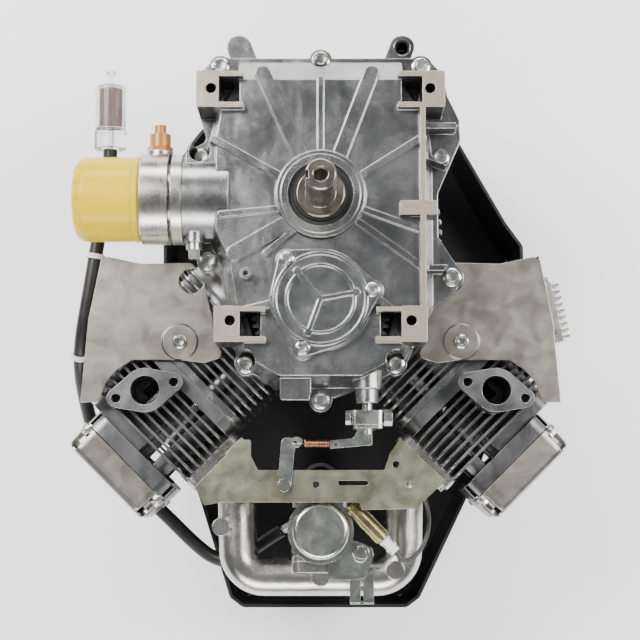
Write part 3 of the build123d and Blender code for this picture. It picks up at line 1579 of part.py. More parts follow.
spring_z = 61.8
with BuildPart() as governor_spring:
    for index in range(12):
        with BuildSketch(Plane.YZ.offset(-8 + index * 1.9)):
            with Locations((-206.5, spring_z)):
                Circle(3.4)
                Circle(2, mode=Mode.SUBTRACT)
        extrude(amount=1.5)
    with BuildSketch(Plane.YZ.offset(-8)):
        with Locations((-206.5, spring_z + 2.7), (-206.5, spring_z - 2.7)):
            Circle(0.7)
    extrude(amount=22.4)
governor_spring.part.label = "governor_spring"
export_step(governor_spring.part, "parts/governor_spring.step")

# Fuel filter standing along Y beside the oil filter, and the hose that leaves it
fuel_x, fuel_z = 187.0, 90.0


def turned_y(y_low, y_high, radius, mode=Mode.ADD):
    """Plain disc of the fuel filter, lying along Y, added to the part in progress."""
    with BuildSketch(Plane.XZ.offset(-y_low)) as disc:
        with Locations((fuel_x, fuel_z)):
            Circle(radius)
    extrude(disc.sketch, amount=y_low - y_high, mode=mode)


with BuildPart() as fuel_filter:
    turned_y(72, 113, 13.5)
    fillet(fuel_filter.faces().sort_by(Axis.Y)[-1].edges(), 3)
    turned_y(56, 72, 14.2)
    turned_y(113, 126, 3.9)
    turned_y(124, 126, 4.6)
    turned_y(74, 111, 12.3, Mode.SUBTRACT)
    turned_y(30, 130, 2.2, Mode.SUBTRACT)
fuel_filter.part.label = "fuel_filter"
export_step(fuel_filter.part, "parts/fuel_filter.step")

pleats = 18
with BuildPart() as fuel_filter_element:
    with BuildSketch(Plane.XZ.offset(-74)):
        with Locations((fuel_x, fuel_z)):
            Circle(7.5)
            with PolarLocations(8.4, pleats):
                Rectangle(3.6, 1.1)
    extrude(amount=-36)
fuel_filter_element.part.label = "fuel_filter_element"
export_step(fuel_filter_element.part, "parts/fuel_filter_element.step")

hose_radius = 6.3
hose_points = [
    (187, 55.4, 90),
    (187.5, 38, 91),
    (191, 15, 95),
    (198, -28, 96),
    (205, -74, 96),
    (212, -112, 102),
    (215, -138, 118),
    (214, -162, 145),
    (210, -188, 168),
    (196, -216, 178),
    (170, -243, 180),
    (142, -268, 180),
    (118, -292, 180),
    (98, -308, 179),
    (76, -311, 173),
    (54, -293.2, 158.9),
    tuple(fuel_inlet),
]
fuel_hose = tube(hose_points, "fuel hose", hose_radius)
fuel_hose.label = "fuel_hose"
export_step(fuel_hose, "parts/fuel_hose.step")

# Ties clipped round the hose
with BuildPart() as hose_ties:
    for place, way in (((199.8, -40, 96), (7, -46, 0)), ((213.7, -126.8, 111), (3, -26, 16))):
        tie_plane = Plane(origin=place, z_dir=way)
        with BuildSketch(tie_plane):
            Circle(hose_radius + 2)
            Circle(hose_radius + 0.2, mode=Mode.SUBTRACT)
        extrude(amount=2.2, both=True)
hose_ties.part.label = "hose_ties"
export_step(hose_ties.part, "parts/hose_ties.step")

# Blower housing: scroll-shaped cover over the flywheel, with the air cleaner's base at the front
housing_low = 198.5
housing_top = 286.0
housing_wall = 3.0
screen_opening = 97.0
cleaner_z = 300.0


def housing_outline():
    """Round about the flywheel, a wing at one side, and a tapering front."""
    with BuildSketch() as piece:
        Circle(150)
        with BuildLine():
            Polyline(
                (0, 149),
                (-90, 119),
                (-133, 84),
                (-176, 8),
                (-192, -14),
                (-195, -110),
                (-135, -255),
                (-92, -344),
                (-80, -353),
                (72, -353),
                (84, -344),
                (112, -255),
                (148, -150),
                (149, 0),
                (0, 149),
            )
        make_face()
        fillet(piece.vertices(), 8)
    return piece.sketch


with BuildPart() as blower_housing:
    with BuildSketch(Plane.XY.offset(housing_low)):
        add(housing_outline())
    extrude(amount=housing_top - housing_low, taper=2)
    fillet(blower_housing.faces().sort_by(Axis.Z)[-1].edges(), 12)
    with BuildSketch(Plane.XY.offset(housing_low - 1)):
        offset(housing_outline(), amount=-housing_wall)
    extrude(amount=housing_top - housing_low - housing_wall + 1, taper=2.5, mode=Mode.SUBTRACT)
    # raised collar round the intake screen
    with BuildSketch(Plane.XY.offset(housing_top - 2)):
        Circle(screen_opening + 8)
    extrude(amount=10, taper=6)
    with BuildSketch(Plane.XY.offset(housing_low)):
        Circle(screen_opening)
    extrude(amount=120, mode=Mode.SUBTRACT)
    # wall that the air cleaner cover sits on, and its outlet to the carburettor
    with BuildSketch(Plane.XY.offset(housing_top - 2)):
        with Locations((-4, -245)):
            RectangleRounded(176, 150, 20)
            RectangleRounded(170, 144, 17, mode=Mode.SUBTRACT)
    extrude(amount=cleaner_z - housing_top + 2)
    with BuildSketch(Plane.XY.offset(168)):
        with Locations((0, -238)):
            Circle(17)
    extrude(amount=housing_top - 168 - 1)
    with BuildSketch(Plane.XZ.offset(238)):
        with Locations((0, intake_z)):
            Circle(17)
    extrude(amount=18)
    with BuildSketch(Plane.XY.offset(intake_z)):
        with Locations((0, -238)):
            Circle(17)
    extrude(amount=40)
    with BuildSketch(Plane.XY.offset(intake_z)):
        with Locations((0, -238)):
            Circle(13.5)
    extrude(amount=200, mode=Mode.SUBTRACT)
    with BuildSketch(Plane.XZ.offset(238)):
        with Locations((0, intake_z)):
            Circle(13.5)
    extrude(amount=30, mode=Mode.SUBTRACT)
    # holes for the plug leads
    with BuildSketch(Plane.XY.offset(housing_low - 5)):
        for x_sign in (1, -1):
            with Locations((x_sign * lead_spot.X, lead_spot.Y)):
                Circle(lead_radius + 1)
    extrude(amount=8, mode=Mode.SUBTRACT)
blower_housing.part.label = "blower_housing"
export_step(blower_housing.part, "parts/blower_housing.step")

# Flywheel with its ring gear and fan, and the screen that turns with it
flywheel_z = 206.0
with BuildPart() as flywheel:
    with BuildSketch(Plane.XY.offset(flywheel_z)):
        Circle(112)
    extrude(amount=14)
    with BuildSketch(Plane.XY.offset(flywheel_z)):
        Circle(27)
    extrude(amount=20)
    with BuildSketch(Plane.XY.offset(flywheel_z + 14)):
        with PolarLocations(88, 22):
            Rectangle(38, 3, rotation=28)
    extrude(amount=30)
    with BuildSketch(Plane.XY.offset(flywheel_z)):
        with PolarLocations(112, 72):
            Rectangle(7, 4.6)
    extrude(amount=8)
    with BuildSketch(Plane.XY.offset(flywheel_z - 1)):
        Circle(16)
    extrude(amount=30, mode=Mode.SUBTRACT)
flywheel.part.label = "flywheel"
export_step(flywheel.part, "parts/flywheel.step")

with BuildPart() as flywheel_nut:
    with BuildSketch(Plane.XY.offset(taper_z)):
        Circle(24)
        Circle(9, mode=Mode.SUBTRACT)
    extrude(amount=4)
    with BuildSketch(Plane.XY.offset(taper_z + 4)):
        RegularPolygon(16, 6)
        Circle(9, mode=Mode.SUBTRACT)
    extrude(amount=13)
flywheel_nut.part.label = "flywheel_nut"
export_step(flywheel_nut.part, "parts/flywheel_nut.step")

screen_z = 280.0
with BuildPart() as rotating_screen:
    with BuildSketch(Plane.XY.offset(screen_z)):
        Circle(93)
        with PolarLocations(80, 36):
            SlotCenterToCenter(8, 4, rotation=0, mode=Mode.SUBTRACT)
        with PolarLocations(62, 28):
            SlotCenterToCenter(8, 4, mode=Mode.SUBTRACT)
        with PolarLocations(44, 20):
            SlotCenterToCenter(8, 4, mode=Mode.SUBTRACT)
    extrude(amount=2.5)
    with BuildSketch(Plane.XY.offset(screen_z)):
        Circle(93)
        Circle(90.5, mode=Mode.SUBTRACT)
    extrude(amount=-10)
    with BuildSketch(Plane.XY.offset(screen_z - 8)):
        Circle(26)
        Circle(20, mode=Mode.SUBTRACT)
    extrude(amount=8)
    with BuildSketch(Plane.XY.offset(flywheel_z + 44)):
        with PolarLocations(88, 4, start_angle=0):
            Circle(4.5)
    extrude(amount=screen_z - flywheel_z - 44)
rotating_screen.part.label = "rotating_screen"
export_step(rotating_screen.part, "parts/rotating_screen.step")

# Two ignition coils outside the flywheel's rim
with BuildPart() as ignition_coils:
    for x_sign in (1, -1):
        with BuildSketch(Plane.XY.offset(flywheel_z + 2)):
            with Locations(Location((x_sign * 92, -96, 0), x_sign * -45)):
                RectangleRounded(26, 44, 3)
        extrude(amount=24)
ignition_coils.part.label = "ignition_coils"
export_step(ignition_coils.part, "parts/ignition_coils.step")

# Starter motor at the back, its pinion below the ring gear
starter_x, starter_y = -62.0, 95.0
with BuildPart() as starter_motor:
    with BuildSketch(Plane.XY.offset(86)):
        with Locations((starter_x, starter_y)):
            Circle(30)
    extrude(amount=84)
    chamfer(starter_motor.faces().sort_by(Axis.Z)[0].edges(), 2)
    with BuildSketch(Plane.XY.offset(170)):
        with Locations((starter_x, starter_y)):
            Circle(22)
    extrude(amount=14)
    with BuildSketch(Plane.XY.offset(184)):
        with Locations((starter_x, starter_y)):
            Circle(9)
    extrude(amount=12)
starter_motor.part.label = "starter_motor"
export_step(starter_motor.part, "parts/starter_motor.step")

# Voltage regulator: finned block on the side of the housing
regulator_turn = 12.0
with BuildPart() as voltage_regulator:
    block = Plane(origin=(-213, -83, 150), x_dir=(cos(radians(78)), sin(radians(78)), 0), z_dir=(0, 0, 1))
    with BuildSketch(block):
        RectangleRounded(56, 8, 1)
        with GridLocations(6, 0, 9, 1):
            with Locations((0, 7)):
                Rectangle(2.2, 8)
    extrude(amount=50)
    with BuildSketch(block.offset(10)):
        with Locations((30, 1)):
            RectangleRounded(8, 6, 1)
    extrude(amount=26)
    # mounting tab against the side of the housing
    with BuildSketch(Plane.XY.offset(190)):
        Polygon((-193.9, -70), (-194.7, -96), (-212, -96), (-206, -70), align=None)
    extrude(amount=22)
voltage_regulator.part.label = "voltage_regulator"
export_step(voltage_regulator.part, "parts/voltage_regulator.step")

# Air cleaner: paper element, cover and the knob that holds it
with BuildPart() as air_filter_element:
    with BuildSketch(Plane.XY.offset(cleaner_z - 12)):
        with Locations((-4, -245)):
            RectangleRounded(140, 110, 8)
            with Locations((38, 0)):
                Circle(6, mode=Mode.SUBTRACT)
    extrude(amount=26)
air_filter_element.part.label = "air_filter_element"
export_step(air_filter_element.part, "parts/air_filter_element.step")

with BuildPart() as air_cleaner_cover:
    with BuildSketch(Plane.XY.offset(cleaner_z)):
        with Locations((-4, -245)):
            RectangleRounded(180, 154, 22)
    extrude(amount=34, taper=5)
    fillet(air_cleaner_cover.faces().sort_by(Axis.Z)[-1].edges(), 9)
    with BuildSketch(Plane.XY.offset(cleaner_z)):
        with Locations((-4, -245)):
            RectangleRounded(172, 146, 18)
    extrude(amount=30, taper=6, mode=Mode.SUBTRACT)
    with BuildSketch(Plane.XY.offset(cleaner_z + 10)):
        with Locations((34, -245)):
            Circle(5.05, mode=Mode.ADD)
    extrude(amount=30, mode=Mode.SUBTRACT)
air_cleaner_cover.part.label = "air_cleaner_cover"
export_step(air_cleaner_cover.part, "parts/air_cleaner_cover.step")

with BuildPart() as air_cleaner_knob:
    with BuildSketch(Plane.XY.offset(cleaner_z + 34.1)):
        with Locations((34, -245)):
            Circle(16)
            with PolarLocations(16, 6):
                Circle(4.5)
    extrude(amount=12, taper=4)
    with BuildSketch(Plane.XY.offset(cleaner_z + 15)):
        with Locations((34, -245)):
            Circle(5)
    extrude(amount=20)
air_cleaner_knob.part.label = "air_cleaner_knob"
export_step(air_cleaner_knob.part, "parts/air_cleaner_knob.step")

# Oil fill tube at the back, with the dipstick in it
tube_top_z = 236.0
with BuildPart() as oil_fill_tube:
    with BuildSketch(Plane.XY.offset(72)):
        with Locations((tube_x, tube_y)):
            Circle(7)
            Circle(5.5, mode=Mode.SUBTRACT)
    extrude(amount=tube_top_z - 72)
    with BuildSketch(Plane.XY.offset(84)):
        with Locations((tube_x, tube_y)):
            Circle(9)
            Circle(7, mode=Mode.SUBTRACT)
    extrude(amount=4)
oil_fill_tube.part.label = "oil_fill_tube"
export_step(oil_fill_tube.part, "parts/oil_fill_tube.step")

with BuildPart() as dipstick:
    with BuildSketch(Plane.XY.offset(tube_top_z)):
        with Locations((tube_x, tube_y)):
            Circle(10)
    extrude(amount=9)
    fillet(dipstick.faces().sort_by(Axis.Z)[-1].edges(), 2)
    with BuildSketch(Plane.XZ.offset(-tube_y - 2)):
        with Locations((tube_x, tube_top_z + 16)):
            Circle(10)
            Circle(6.5, mode=Mode.SUBTRACT)
    extrude(amount=4)
    with BuildSketch(Plane.XY.offset(tube_top_z - 12)):
        with Locations((tube_x, tube_y)):
            Circle(5.4)
    extrude(amount=12)
    with BuildSketch(Plane.XY.offset(80)):
        with Locations((tube_x, tube_y)):
            Rectangle(5, 1.2)
    extrude(amount=tube_top_z - 80)
dipstick.part.label = "dipstick"
export_step(dipstick.part, "parts/dipstick.step")
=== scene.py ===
import math

import bmesh
import bpy
import numpy as np
from mathutils import Matrix, Vector


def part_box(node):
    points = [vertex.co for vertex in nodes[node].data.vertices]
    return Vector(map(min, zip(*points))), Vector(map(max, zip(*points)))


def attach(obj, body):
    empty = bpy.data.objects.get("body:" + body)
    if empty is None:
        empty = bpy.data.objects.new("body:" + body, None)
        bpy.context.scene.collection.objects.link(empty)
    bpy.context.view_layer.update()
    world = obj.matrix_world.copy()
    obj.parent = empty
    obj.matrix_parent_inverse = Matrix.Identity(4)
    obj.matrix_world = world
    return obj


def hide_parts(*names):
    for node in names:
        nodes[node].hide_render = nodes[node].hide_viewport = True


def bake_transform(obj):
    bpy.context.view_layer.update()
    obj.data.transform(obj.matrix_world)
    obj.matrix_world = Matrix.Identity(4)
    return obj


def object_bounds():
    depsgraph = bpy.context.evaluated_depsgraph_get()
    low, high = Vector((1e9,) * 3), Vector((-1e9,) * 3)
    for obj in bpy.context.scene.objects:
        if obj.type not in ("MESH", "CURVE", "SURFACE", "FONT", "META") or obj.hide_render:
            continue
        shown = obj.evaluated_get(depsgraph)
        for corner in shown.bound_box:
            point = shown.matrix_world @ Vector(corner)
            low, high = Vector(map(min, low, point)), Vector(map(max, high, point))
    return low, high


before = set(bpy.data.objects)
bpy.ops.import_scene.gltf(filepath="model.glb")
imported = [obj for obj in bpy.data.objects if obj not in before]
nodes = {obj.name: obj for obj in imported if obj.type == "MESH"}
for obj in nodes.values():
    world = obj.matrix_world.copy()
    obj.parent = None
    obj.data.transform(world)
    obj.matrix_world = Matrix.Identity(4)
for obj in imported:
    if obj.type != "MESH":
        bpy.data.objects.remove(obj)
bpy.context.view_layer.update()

print("engine frame loaded:", len(nodes), "pieces")


# node building

def put(tree, kind, inputs=None, **settings):
    # one node, its settings, then its sockets: a socket value is linked, anything else is set
    node = tree.nodes.new(kind)
    for key, value in settings.items():
        setattr(node, key, value)
    for key, value in (inputs or {}).items():
        if isinstance(value, bpy.types.NodeSocket):
            tree.links.new(value, node.inputs[key])
        else:
            node.inputs[key].default_value = value
    return node


def maths(tree, operation, first, second=0.0, clamp=False):
    node = put(tree, "ShaderNodeMath", {0: first, 1: second}, operation=operation, use_clamp=clamp)
    return node.outputs[0]


def ramp(tree, factor, low, high, lowOut=0.0, highOut=1.0):
    node = put(tree, "ShaderNodeMapRange", {
        "Value": factor, "From Min": low, "From Max": high, "To Min": lowOut, "To Max": highOut})
    node.clamp = True
    return node.outputs["Result"]


def mixColour(tree, factor, first, second, blend="MIX"):
    node = tree.nodes.new("ShaderNodeMix")
    node.data_type = "RGBA"
    node.blend_type = blend
    for index, value in ((0, factor), (6, first), (7, second)):
        if isinstance(value, bpy.types.NodeSocket):
            tree.links.new(value, node.inputs[index])
        elif index == 0:
            node.inputs[index].default_value = value
        else:
            node.inputs[index].default_value = (*value, 1.0)
    return node.outputs[2]


def newGroup(name, inputs, outputs):
    group = bpy.data.node_groups.new(name, "ShaderNodeTree")
    for label, value in inputs.items():
        kind = "NodeSocketVector" if isinstance(value, tuple) else "NodeSocketFloat"
        socket = group.interface.new_socket(name=label, in_out="INPUT", socket_type=kind)
        socket.default_value = value
    for label in outputs:
        kind = "NodeSocketVector" if label == "Normal" else "NodeSocketFloat"
        group.interface.new_socket(name=label, in_out="OUTPUT", socket_type=kind)
    return group, group.nodes.new("NodeGroupInput"), group.nodes.new("NodeGroupOutput")


def objectPoint(tree, scale=(1, 1, 1), turn=(0, 0, 0)):
    coords = put(tree, "ShaderNodeTexCoord")
    return put(tree, "ShaderNodeMapping", {
        "Vector": coords.outputs["Object"], "Scale": scale, "Rotation": turn}).outputs["Vector"]


def noise(tree, point, scale, detail=3.0, roughness=0.5, distortion=0.0):
    return put(tree, "ShaderNodeTexNoise", {
        "Vector": point, "Scale": scale, "Detail": detail, "Roughness": roughness,
        "Distortion": distortion}).outputs["Fac"]


# shared surface effects

def buildEdgeWearAndHighlight():
    # rounds every edge for the light, and masks the edges for wear and for a painted highlight
    group, given, result = newGroup("edgeWearAndHighlight", {"Radius": 0.0007, "Strength": 3.0}, ("Edge", "Normal"))
    rounded = put(group, "ShaderNodeBevel", {"Radius": given.outputs["Radius"]}, samples=6)
    surface = put(group, "ShaderNodeNewGeometry")
    agree = put(group, "ShaderNodeVectorMath", {0: rounded.outputs[0], 1: surface.outputs["Normal"]},
                operation="DOT_PRODUCT").outputs["Value"]
    turned = maths(group, "SUBTRACT", 1.0, agree, True)
    edge = maths(group, "MULTIPLY", turned, given.outputs["Strength"], True)
    group.links.new(edge, result.inputs["Edge"])
    group.links.new(rounded.outputs[0], result.inputs["Normal"])
    return group


def buildCastGrain():
    # sand-fine grain, cloudy flow marks of the die and a few pits
    group, given, result = newGroup(
        "castGrain", {"Grain": 1500.0, "Cloud": 34.0, "Pits": 260.0}, ("Tone", "Flow", "Height"))
    point = objectPoint(group)
    fine = noise(group, point, given.outputs["Grain"], 4.0, 0.65)
    cloud = noise(group, point, given.outputs["Cloud"], 5.0, 0.6, 0.4)
    streakPoint = objectPoint(group, (1.0, 0.16, 1.0), (0, 0, 0.25))
    flow = noise(group, streakPoint, 210.0, 4.0, 0.6, 0.6)
    pits = put(group, "ShaderNodeTexVoronoi", {
        "Vector": point, "Scale": given.outputs["Pits"]}).outputs["Distance"]
    pitDepth = ramp(group, pits, 0.0, 0.16, -1.0, 0.0)
    tone = maths(group, "ADD", maths(group, "MULTIPLY", cloud, 0.7), maths(group, "MULTIPLY", fine, 0.3))
    height = maths(group, "ADD", fine, maths(group, "MULTIPLY", pitDepth, 0.5))
    group.links.new(tone, result.inputs["Tone"])
    group.links.new(flow, result.inputs["Flow"])
    group.links.new(height, result.inputs["Height"])
    return group


def buildToolMarks():
    # fine parallel lines left by a cutter or a brush
    group, given, result = newGroup(
        "toolMarks", {"Stretch": (1.0, 0.02, 1.0), "Scale": 1800.0}, ("Line", "Smear"))
    coords = put(group, "ShaderNodeTexCoord")
    stretched = put(group, "ShaderNodeVectorMath", {
        0: coords.outputs["Object"], 1: given.outputs["Stretch"]}, operation="MULTIPLY").outputs[0]
    line = noise(group, stretched, given.outputs["Scale"], 3.0, 0.7)
    smear = noise(group, coords.outputs["Object"], 55.0, 4.0, 0.55, 0.5)
    group.links.new(line, result.inputs["Line"])
    group.links.new(smear, result.inputs["Smear"])
    return group


def buildShadeAndSpecks():
    # painted shade in sheltered places, darker where ambient occlusion finds close surfaces and broken up by
    # patchy noise, and scattered dust specks
    group, given, result = newGroup(
        "shadeAndSpecks", {"Reach": 0.012, "Specks": 420.0, "Speck Size": 0.1}, ("Shade", "Speck"))
    shelter = put(group, "ShaderNodeAmbientOcclusion", {"Distance": given.outputs["Reach"]}, samples=6)
    coords = put(group, "ShaderNodeTexCoord")
    patchy = noise(group, coords.outputs["Object"], 90.0, 4.0, 0.6)
    # the Shade output is painted shade: the more ambient occlusion closes in, the darker
    recessShade = ramp(group, shelter.outputs["AO"], 0.15, 0.85, 1.0, 0.0)
    shade = maths(group, "MULTIPLY", recessShade, ramp(group, patchy, 0.25, 0.7, 0.7, 1.0), True)
    cells = put(group, "ShaderNodeTexVoronoi", {
        "Vector": coords.outputs["Object"], "Scale": given.outputs["Specks"]})
    near = maths(group, "LESS_THAN", cells.outputs["Distance"], given.outputs["Speck Size"])
    few = maths(group, "GREATER_THAN", put(
        group, "ShaderNodeSeparateColor", {0: cells.outputs["Color"]}).outputs[0], 0.7)
    group.links.new(shade, result.inputs["Shade"])
    group.links.new(maths(group, "MULTIPLY", near, few), result.inputs["Speck"])
    return group


effects = {
    "edgeWearAndHighlight": buildEdgeWearAndHighlight(),
    "castGrain": buildCastGrain(),
    "toolMarks": buildToolMarks(),
    "shadeAndSpecks": buildShadeAndSpecks(),
}
print("shared effects built:", ", ".join(effects))


def useEffect(tree, name, inputs=None):
    node = tree.nodes.new("ShaderNodeGroup")
    node.node_tree = effects[name]
    for key, value in (inputs or {}).items():
        node.inputs[key].default_value = value
    return node.outputs


def newMaterial(name):
    material = bpy.data.materials.new(name)
    material.use_nodes = True
    tree = material.node_tree
    tree.nodes.clear()
    shader = tree.nodes.new("ShaderNodeBsdfPrincipled")
    out = tree.nodes.new("ShaderNodeOutputMaterial")
    tree.links.new(shader.outputs[0], out.inputs["Surface"])
    return material, tree, shader


def bump(tree, shader, height, strength, distance, normal=None):
    node = put(tree, "ShaderNodeBump", {"Height": height, "Strength": strength, "Distance": distance})
    if normal is not None:
        tree.links.new(normal, node.inputs["Normal"])
    tree.links.new(node.outputs[0], shader.inputs["Normal"])


# metals

# bright edge colours: partly worn metal, partly a painted highlight along edges
castEdge = (0.93, 0.93, 0.92)
brightEdge = (0.95, 0.94, 0.9)
# colour of the painted shade in recesses of plain metals
metalRecessShade = (0.05, 0.045, 0.04)
rustSpeck = (0.09, 0.07, 0.05)
machinedTones = ((0.36, 0.31, 0.245), (0.50, 0.44, 0.36))
machinedRough = 0.46
fineGrainDepth = 0.0004
dieWaveDepth = 0.0022
brushDepth = 0.0002
mouldGrainDepth = 0.0003


def castMetal(name, look):
    # die-cast aluminium; faces lying in the feet's plane are machined to a warm matt cut
    material, tree, shader = newMaterial(name)
    shader.inputs["Metallic"].default_value = 1.0
    grain = useEffect(tree, "castGrain", {"Grain": look["grain"], "Cloud": look["cloud"]})
    edging = useEffect(tree, "edgeWearAndHighlight", {"Radius": look["edgeRadius"], "Strength": 2.6})
    shadeAndSpecks = useEffect(tree, "shadeAndSpecks", {"Reach": look["shadeReach"]})
    colour = mixColour(tree, ramp(tree, grain["Tone"], 0.32, 0.68), look["dark"], look["light"])
    colour = mixColour(tree, ramp(tree, grain["Flow"], 0.45, 0.75, 0.0, 0.35), colour, look["warm"])
    # painted shade: recesses darkened towards the soot colour by the ambient-occlusion mask; the specks below
    # are real soot specks
    colour = mixColour(tree, maths(tree, "MULTIPLY", shadeAndSpecks["Shade"], look["shadeAndSpecks"]), colour, look["shadeAndSoot"])
    colour = mixColour(tree, maths(tree, "MULTIPLY", shadeAndSpecks["Speck"], 0.5), colour, look["shadeAndSoot"])
    # edges brightened by the bevel mask: partly wear, partly a painted highlight
    colour = mixColour(tree, maths(tree, "MULTIPLY", edging["Edge"], look["edge"]), colour, castEdge)
    rough = ramp(tree, grain["Tone"], 0.3, 0.7, look["rough"][0], look["rough"][1])
    rough = maths(tree, "ADD", rough, maths(tree, "MULTIPLY", shadeAndSpecks["Shade"], 0.18), True)
    height = grain["Height"]
    if look.get("machinedBelow") is not None:
        place = put(tree, "ShaderNodeSeparateXYZ", {0: put(tree, "ShaderNodeTexCoord").outputs["Object"]})
        level = maths(tree, "LESS_THAN", place.outputs["Z"], look["machinedBelow"])
        marks = useEffect(tree, "toolMarks", {"Stretch": (0.03, 1.0, 1.0), "Scale": 2400.0})
        cut = mixColour(tree, ramp(tree, marks["Line"], 0.35, 0.65), *machinedTones)
        colour = mixColour(tree, level, colour, cut)
        rough = put(tree, "ShaderNodeMix", {0: level, 2: rough, 3: machinedRough}).outputs[0]
        height = put(tree, "ShaderNodeMix", {0: level, 2: height, 3: marks["Line"]}).outputs[0]
    tree.links.new(colour, shader.inputs["Base Color"])
    tree.links.new(rough, shader.inputs["Roughness"])
    # the die leaves its faces slightly wavy, which breaks up reflections
    wave = noise(tree, objectPoint(tree, (1.0, 0.45, 1.0)), look.get("waves", 38.0), 2.0, 0.5, 0.3)
    wavy = put(tree, "ShaderNodeBump", {
        "Height": wave, "Strength": look.get("waviness", 0.5), "Distance": dieWaveDepth,
        "Normal": edging["Normal"]})
    bump(tree, shader, height, look["bump"], fineGrainDepth, wavy.outputs[0])
    return material


def plainMetal(name, look):
    # plated, ground or brushed steel and machined aluminium
    material, tree, shader = newMaterial(name)
    shader.inputs["Metallic"].default_value = 1.0
    marks = useEffect(tree, "toolMarks", {"Stretch": look["stretch"], "Scale": look["lines"]})
    edging = useEffect(tree, "edgeWearAndHighlight", {"Radius": look["edgeRadius"], "Strength": 2.4})
    shadeAndSpecks = useEffect(tree, "shadeAndSpecks", {"Reach": 0.006, "Specks": look.get("specks", 500.0)})
    tint = ramp(tree, marks["Smear"], 0.35, 0.68)
    colour = mixColour(tree, tint, look["dark"], look["light"])
    lined = ramp(tree, marks["Line"], 0.4, 0.62, 0.0, look["lineShow"])
    colour = mixColour(tree, lined, colour, look["lineColour"])
    if "iris" in look:
        point = put(tree, "ShaderNodeTexCoord").outputs["Object"]
        patch = noise(tree, point, look.get("irisScale", 160.0), 4.0, 0.65, 0.6)
        colour = mixColour(tree, ramp(tree, patch, 0.5, 0.68, 0.0, 0.5), colour, look["iris"][0])
        colour = mixColour(tree, ramp(tree, patch, 0.46, 0.32, 0.0, 0.45), colour, look["iris"][1])
    # painted shade: recesses darkened by the ambient-occlusion mask
    colour = mixColour(tree, maths(tree, "MULTIPLY", shadeAndSpecks["Shade"], look["shadeAndSpecks"]), colour, metalRecessShade)
    colour = mixColour(tree, maths(tree, "MULTIPLY", shadeAndSpecks["Speck"], look["speckShow"]), colour, rustSpeck)
    # edges brightened by the bevel mask: partly wear, partly a painted highlight
    colour = mixColour(tree, maths(tree, "MULTIPLY", edging["Edge"], look["edge"]), colour, brightEdge)
    rough = ramp(tree, marks["Smear"], 0.3, 0.7, look["rough"][0], look["rough"][1])
    tree.links.new(colour, shader.inputs["Base Color"])
    tree.links.new(rough, shader.inputs["Roughness"])
    bump(tree, shader, marks["Line"], look["bump"], brushDepth, edging["Normal"])
    return material


# the soot colour of each look paints the shade in recesses as well as the soot specks; the reach sets how far
# that painted shade spreads
castLooks = {
    "brightCasting": dict(
        dark=(0.20, 0.20, 0.205), light=(0.47, 0.47, 0.47), warm=(0.40, 0.37, 0.32),
        shadeAndSoot=(0.02, 0.019, 0.018), rough=(0.19, 0.33), grain=1500.0, cloud=26.0, bump=0.18,
        edge=0.85, edgeRadius=0.0012, shadeAndSpecks=0.85, shadeReach=0.014, machinedBelow=0.0003),
    "coverCasting": dict(
        dark=(0.26, 0.26, 0.265), light=(0.52, 0.52, 0.52), warm=(0.46, 0.44, 0.40),
        shadeAndSoot=(0.02, 0.019, 0.018), rough=(0.18, 0.30), grain=1500.0, cloud=40.0, bump=0.20,
        edge=0.95, edgeRadius=0.0011, shadeAndSpecks=0.9, shadeReach=0.008),
    "finCasting": dict(
        dark=(0.11, 0.11, 0.115), light=(0.30, 0.30, 0.305), warm=(0.26, 0.24, 0.21),
        shadeAndSoot=(0.015, 0.015, 0.014), rough=(0.28, 0.42), grain=1300.0, cloud=30.0, bump=0.20,
        edge=0.85, edgeRadius=0.0007, shadeAndSpecks=0.9, shadeReach=0.016),
    "manifoldCasting": dict(
        dark=(0.42, 0.41, 0.39), light=(0.66, 0.65, 0.62), warm=(0.66, 0.62, 0.55),
        shadeAndSoot=(0.06, 0.055, 0.05), rough=(0.20, 0.32), grain=1100.0, cloud=24.0, bump=0.26,
        edge=0.4, edgeRadius=0.0010, shadeAndSpecks=0.6, shadeReach=0.010),
    "innerCasting": dict(
        dark=(0.42, 0.42, 0.42), light=(0.60, 0.60, 0.60), warm=(0.5, 0.48, 0.44),
        shadeAndSoot=(0.06, 0.05, 0.04), rough=(0.34, 0.46), grain=1200.0, cloud=40.0, bump=0.2, edge=0.3,
        edgeRadius=0.0005, shadeAndSpecks=0.5, shadeReach=0.006),
}
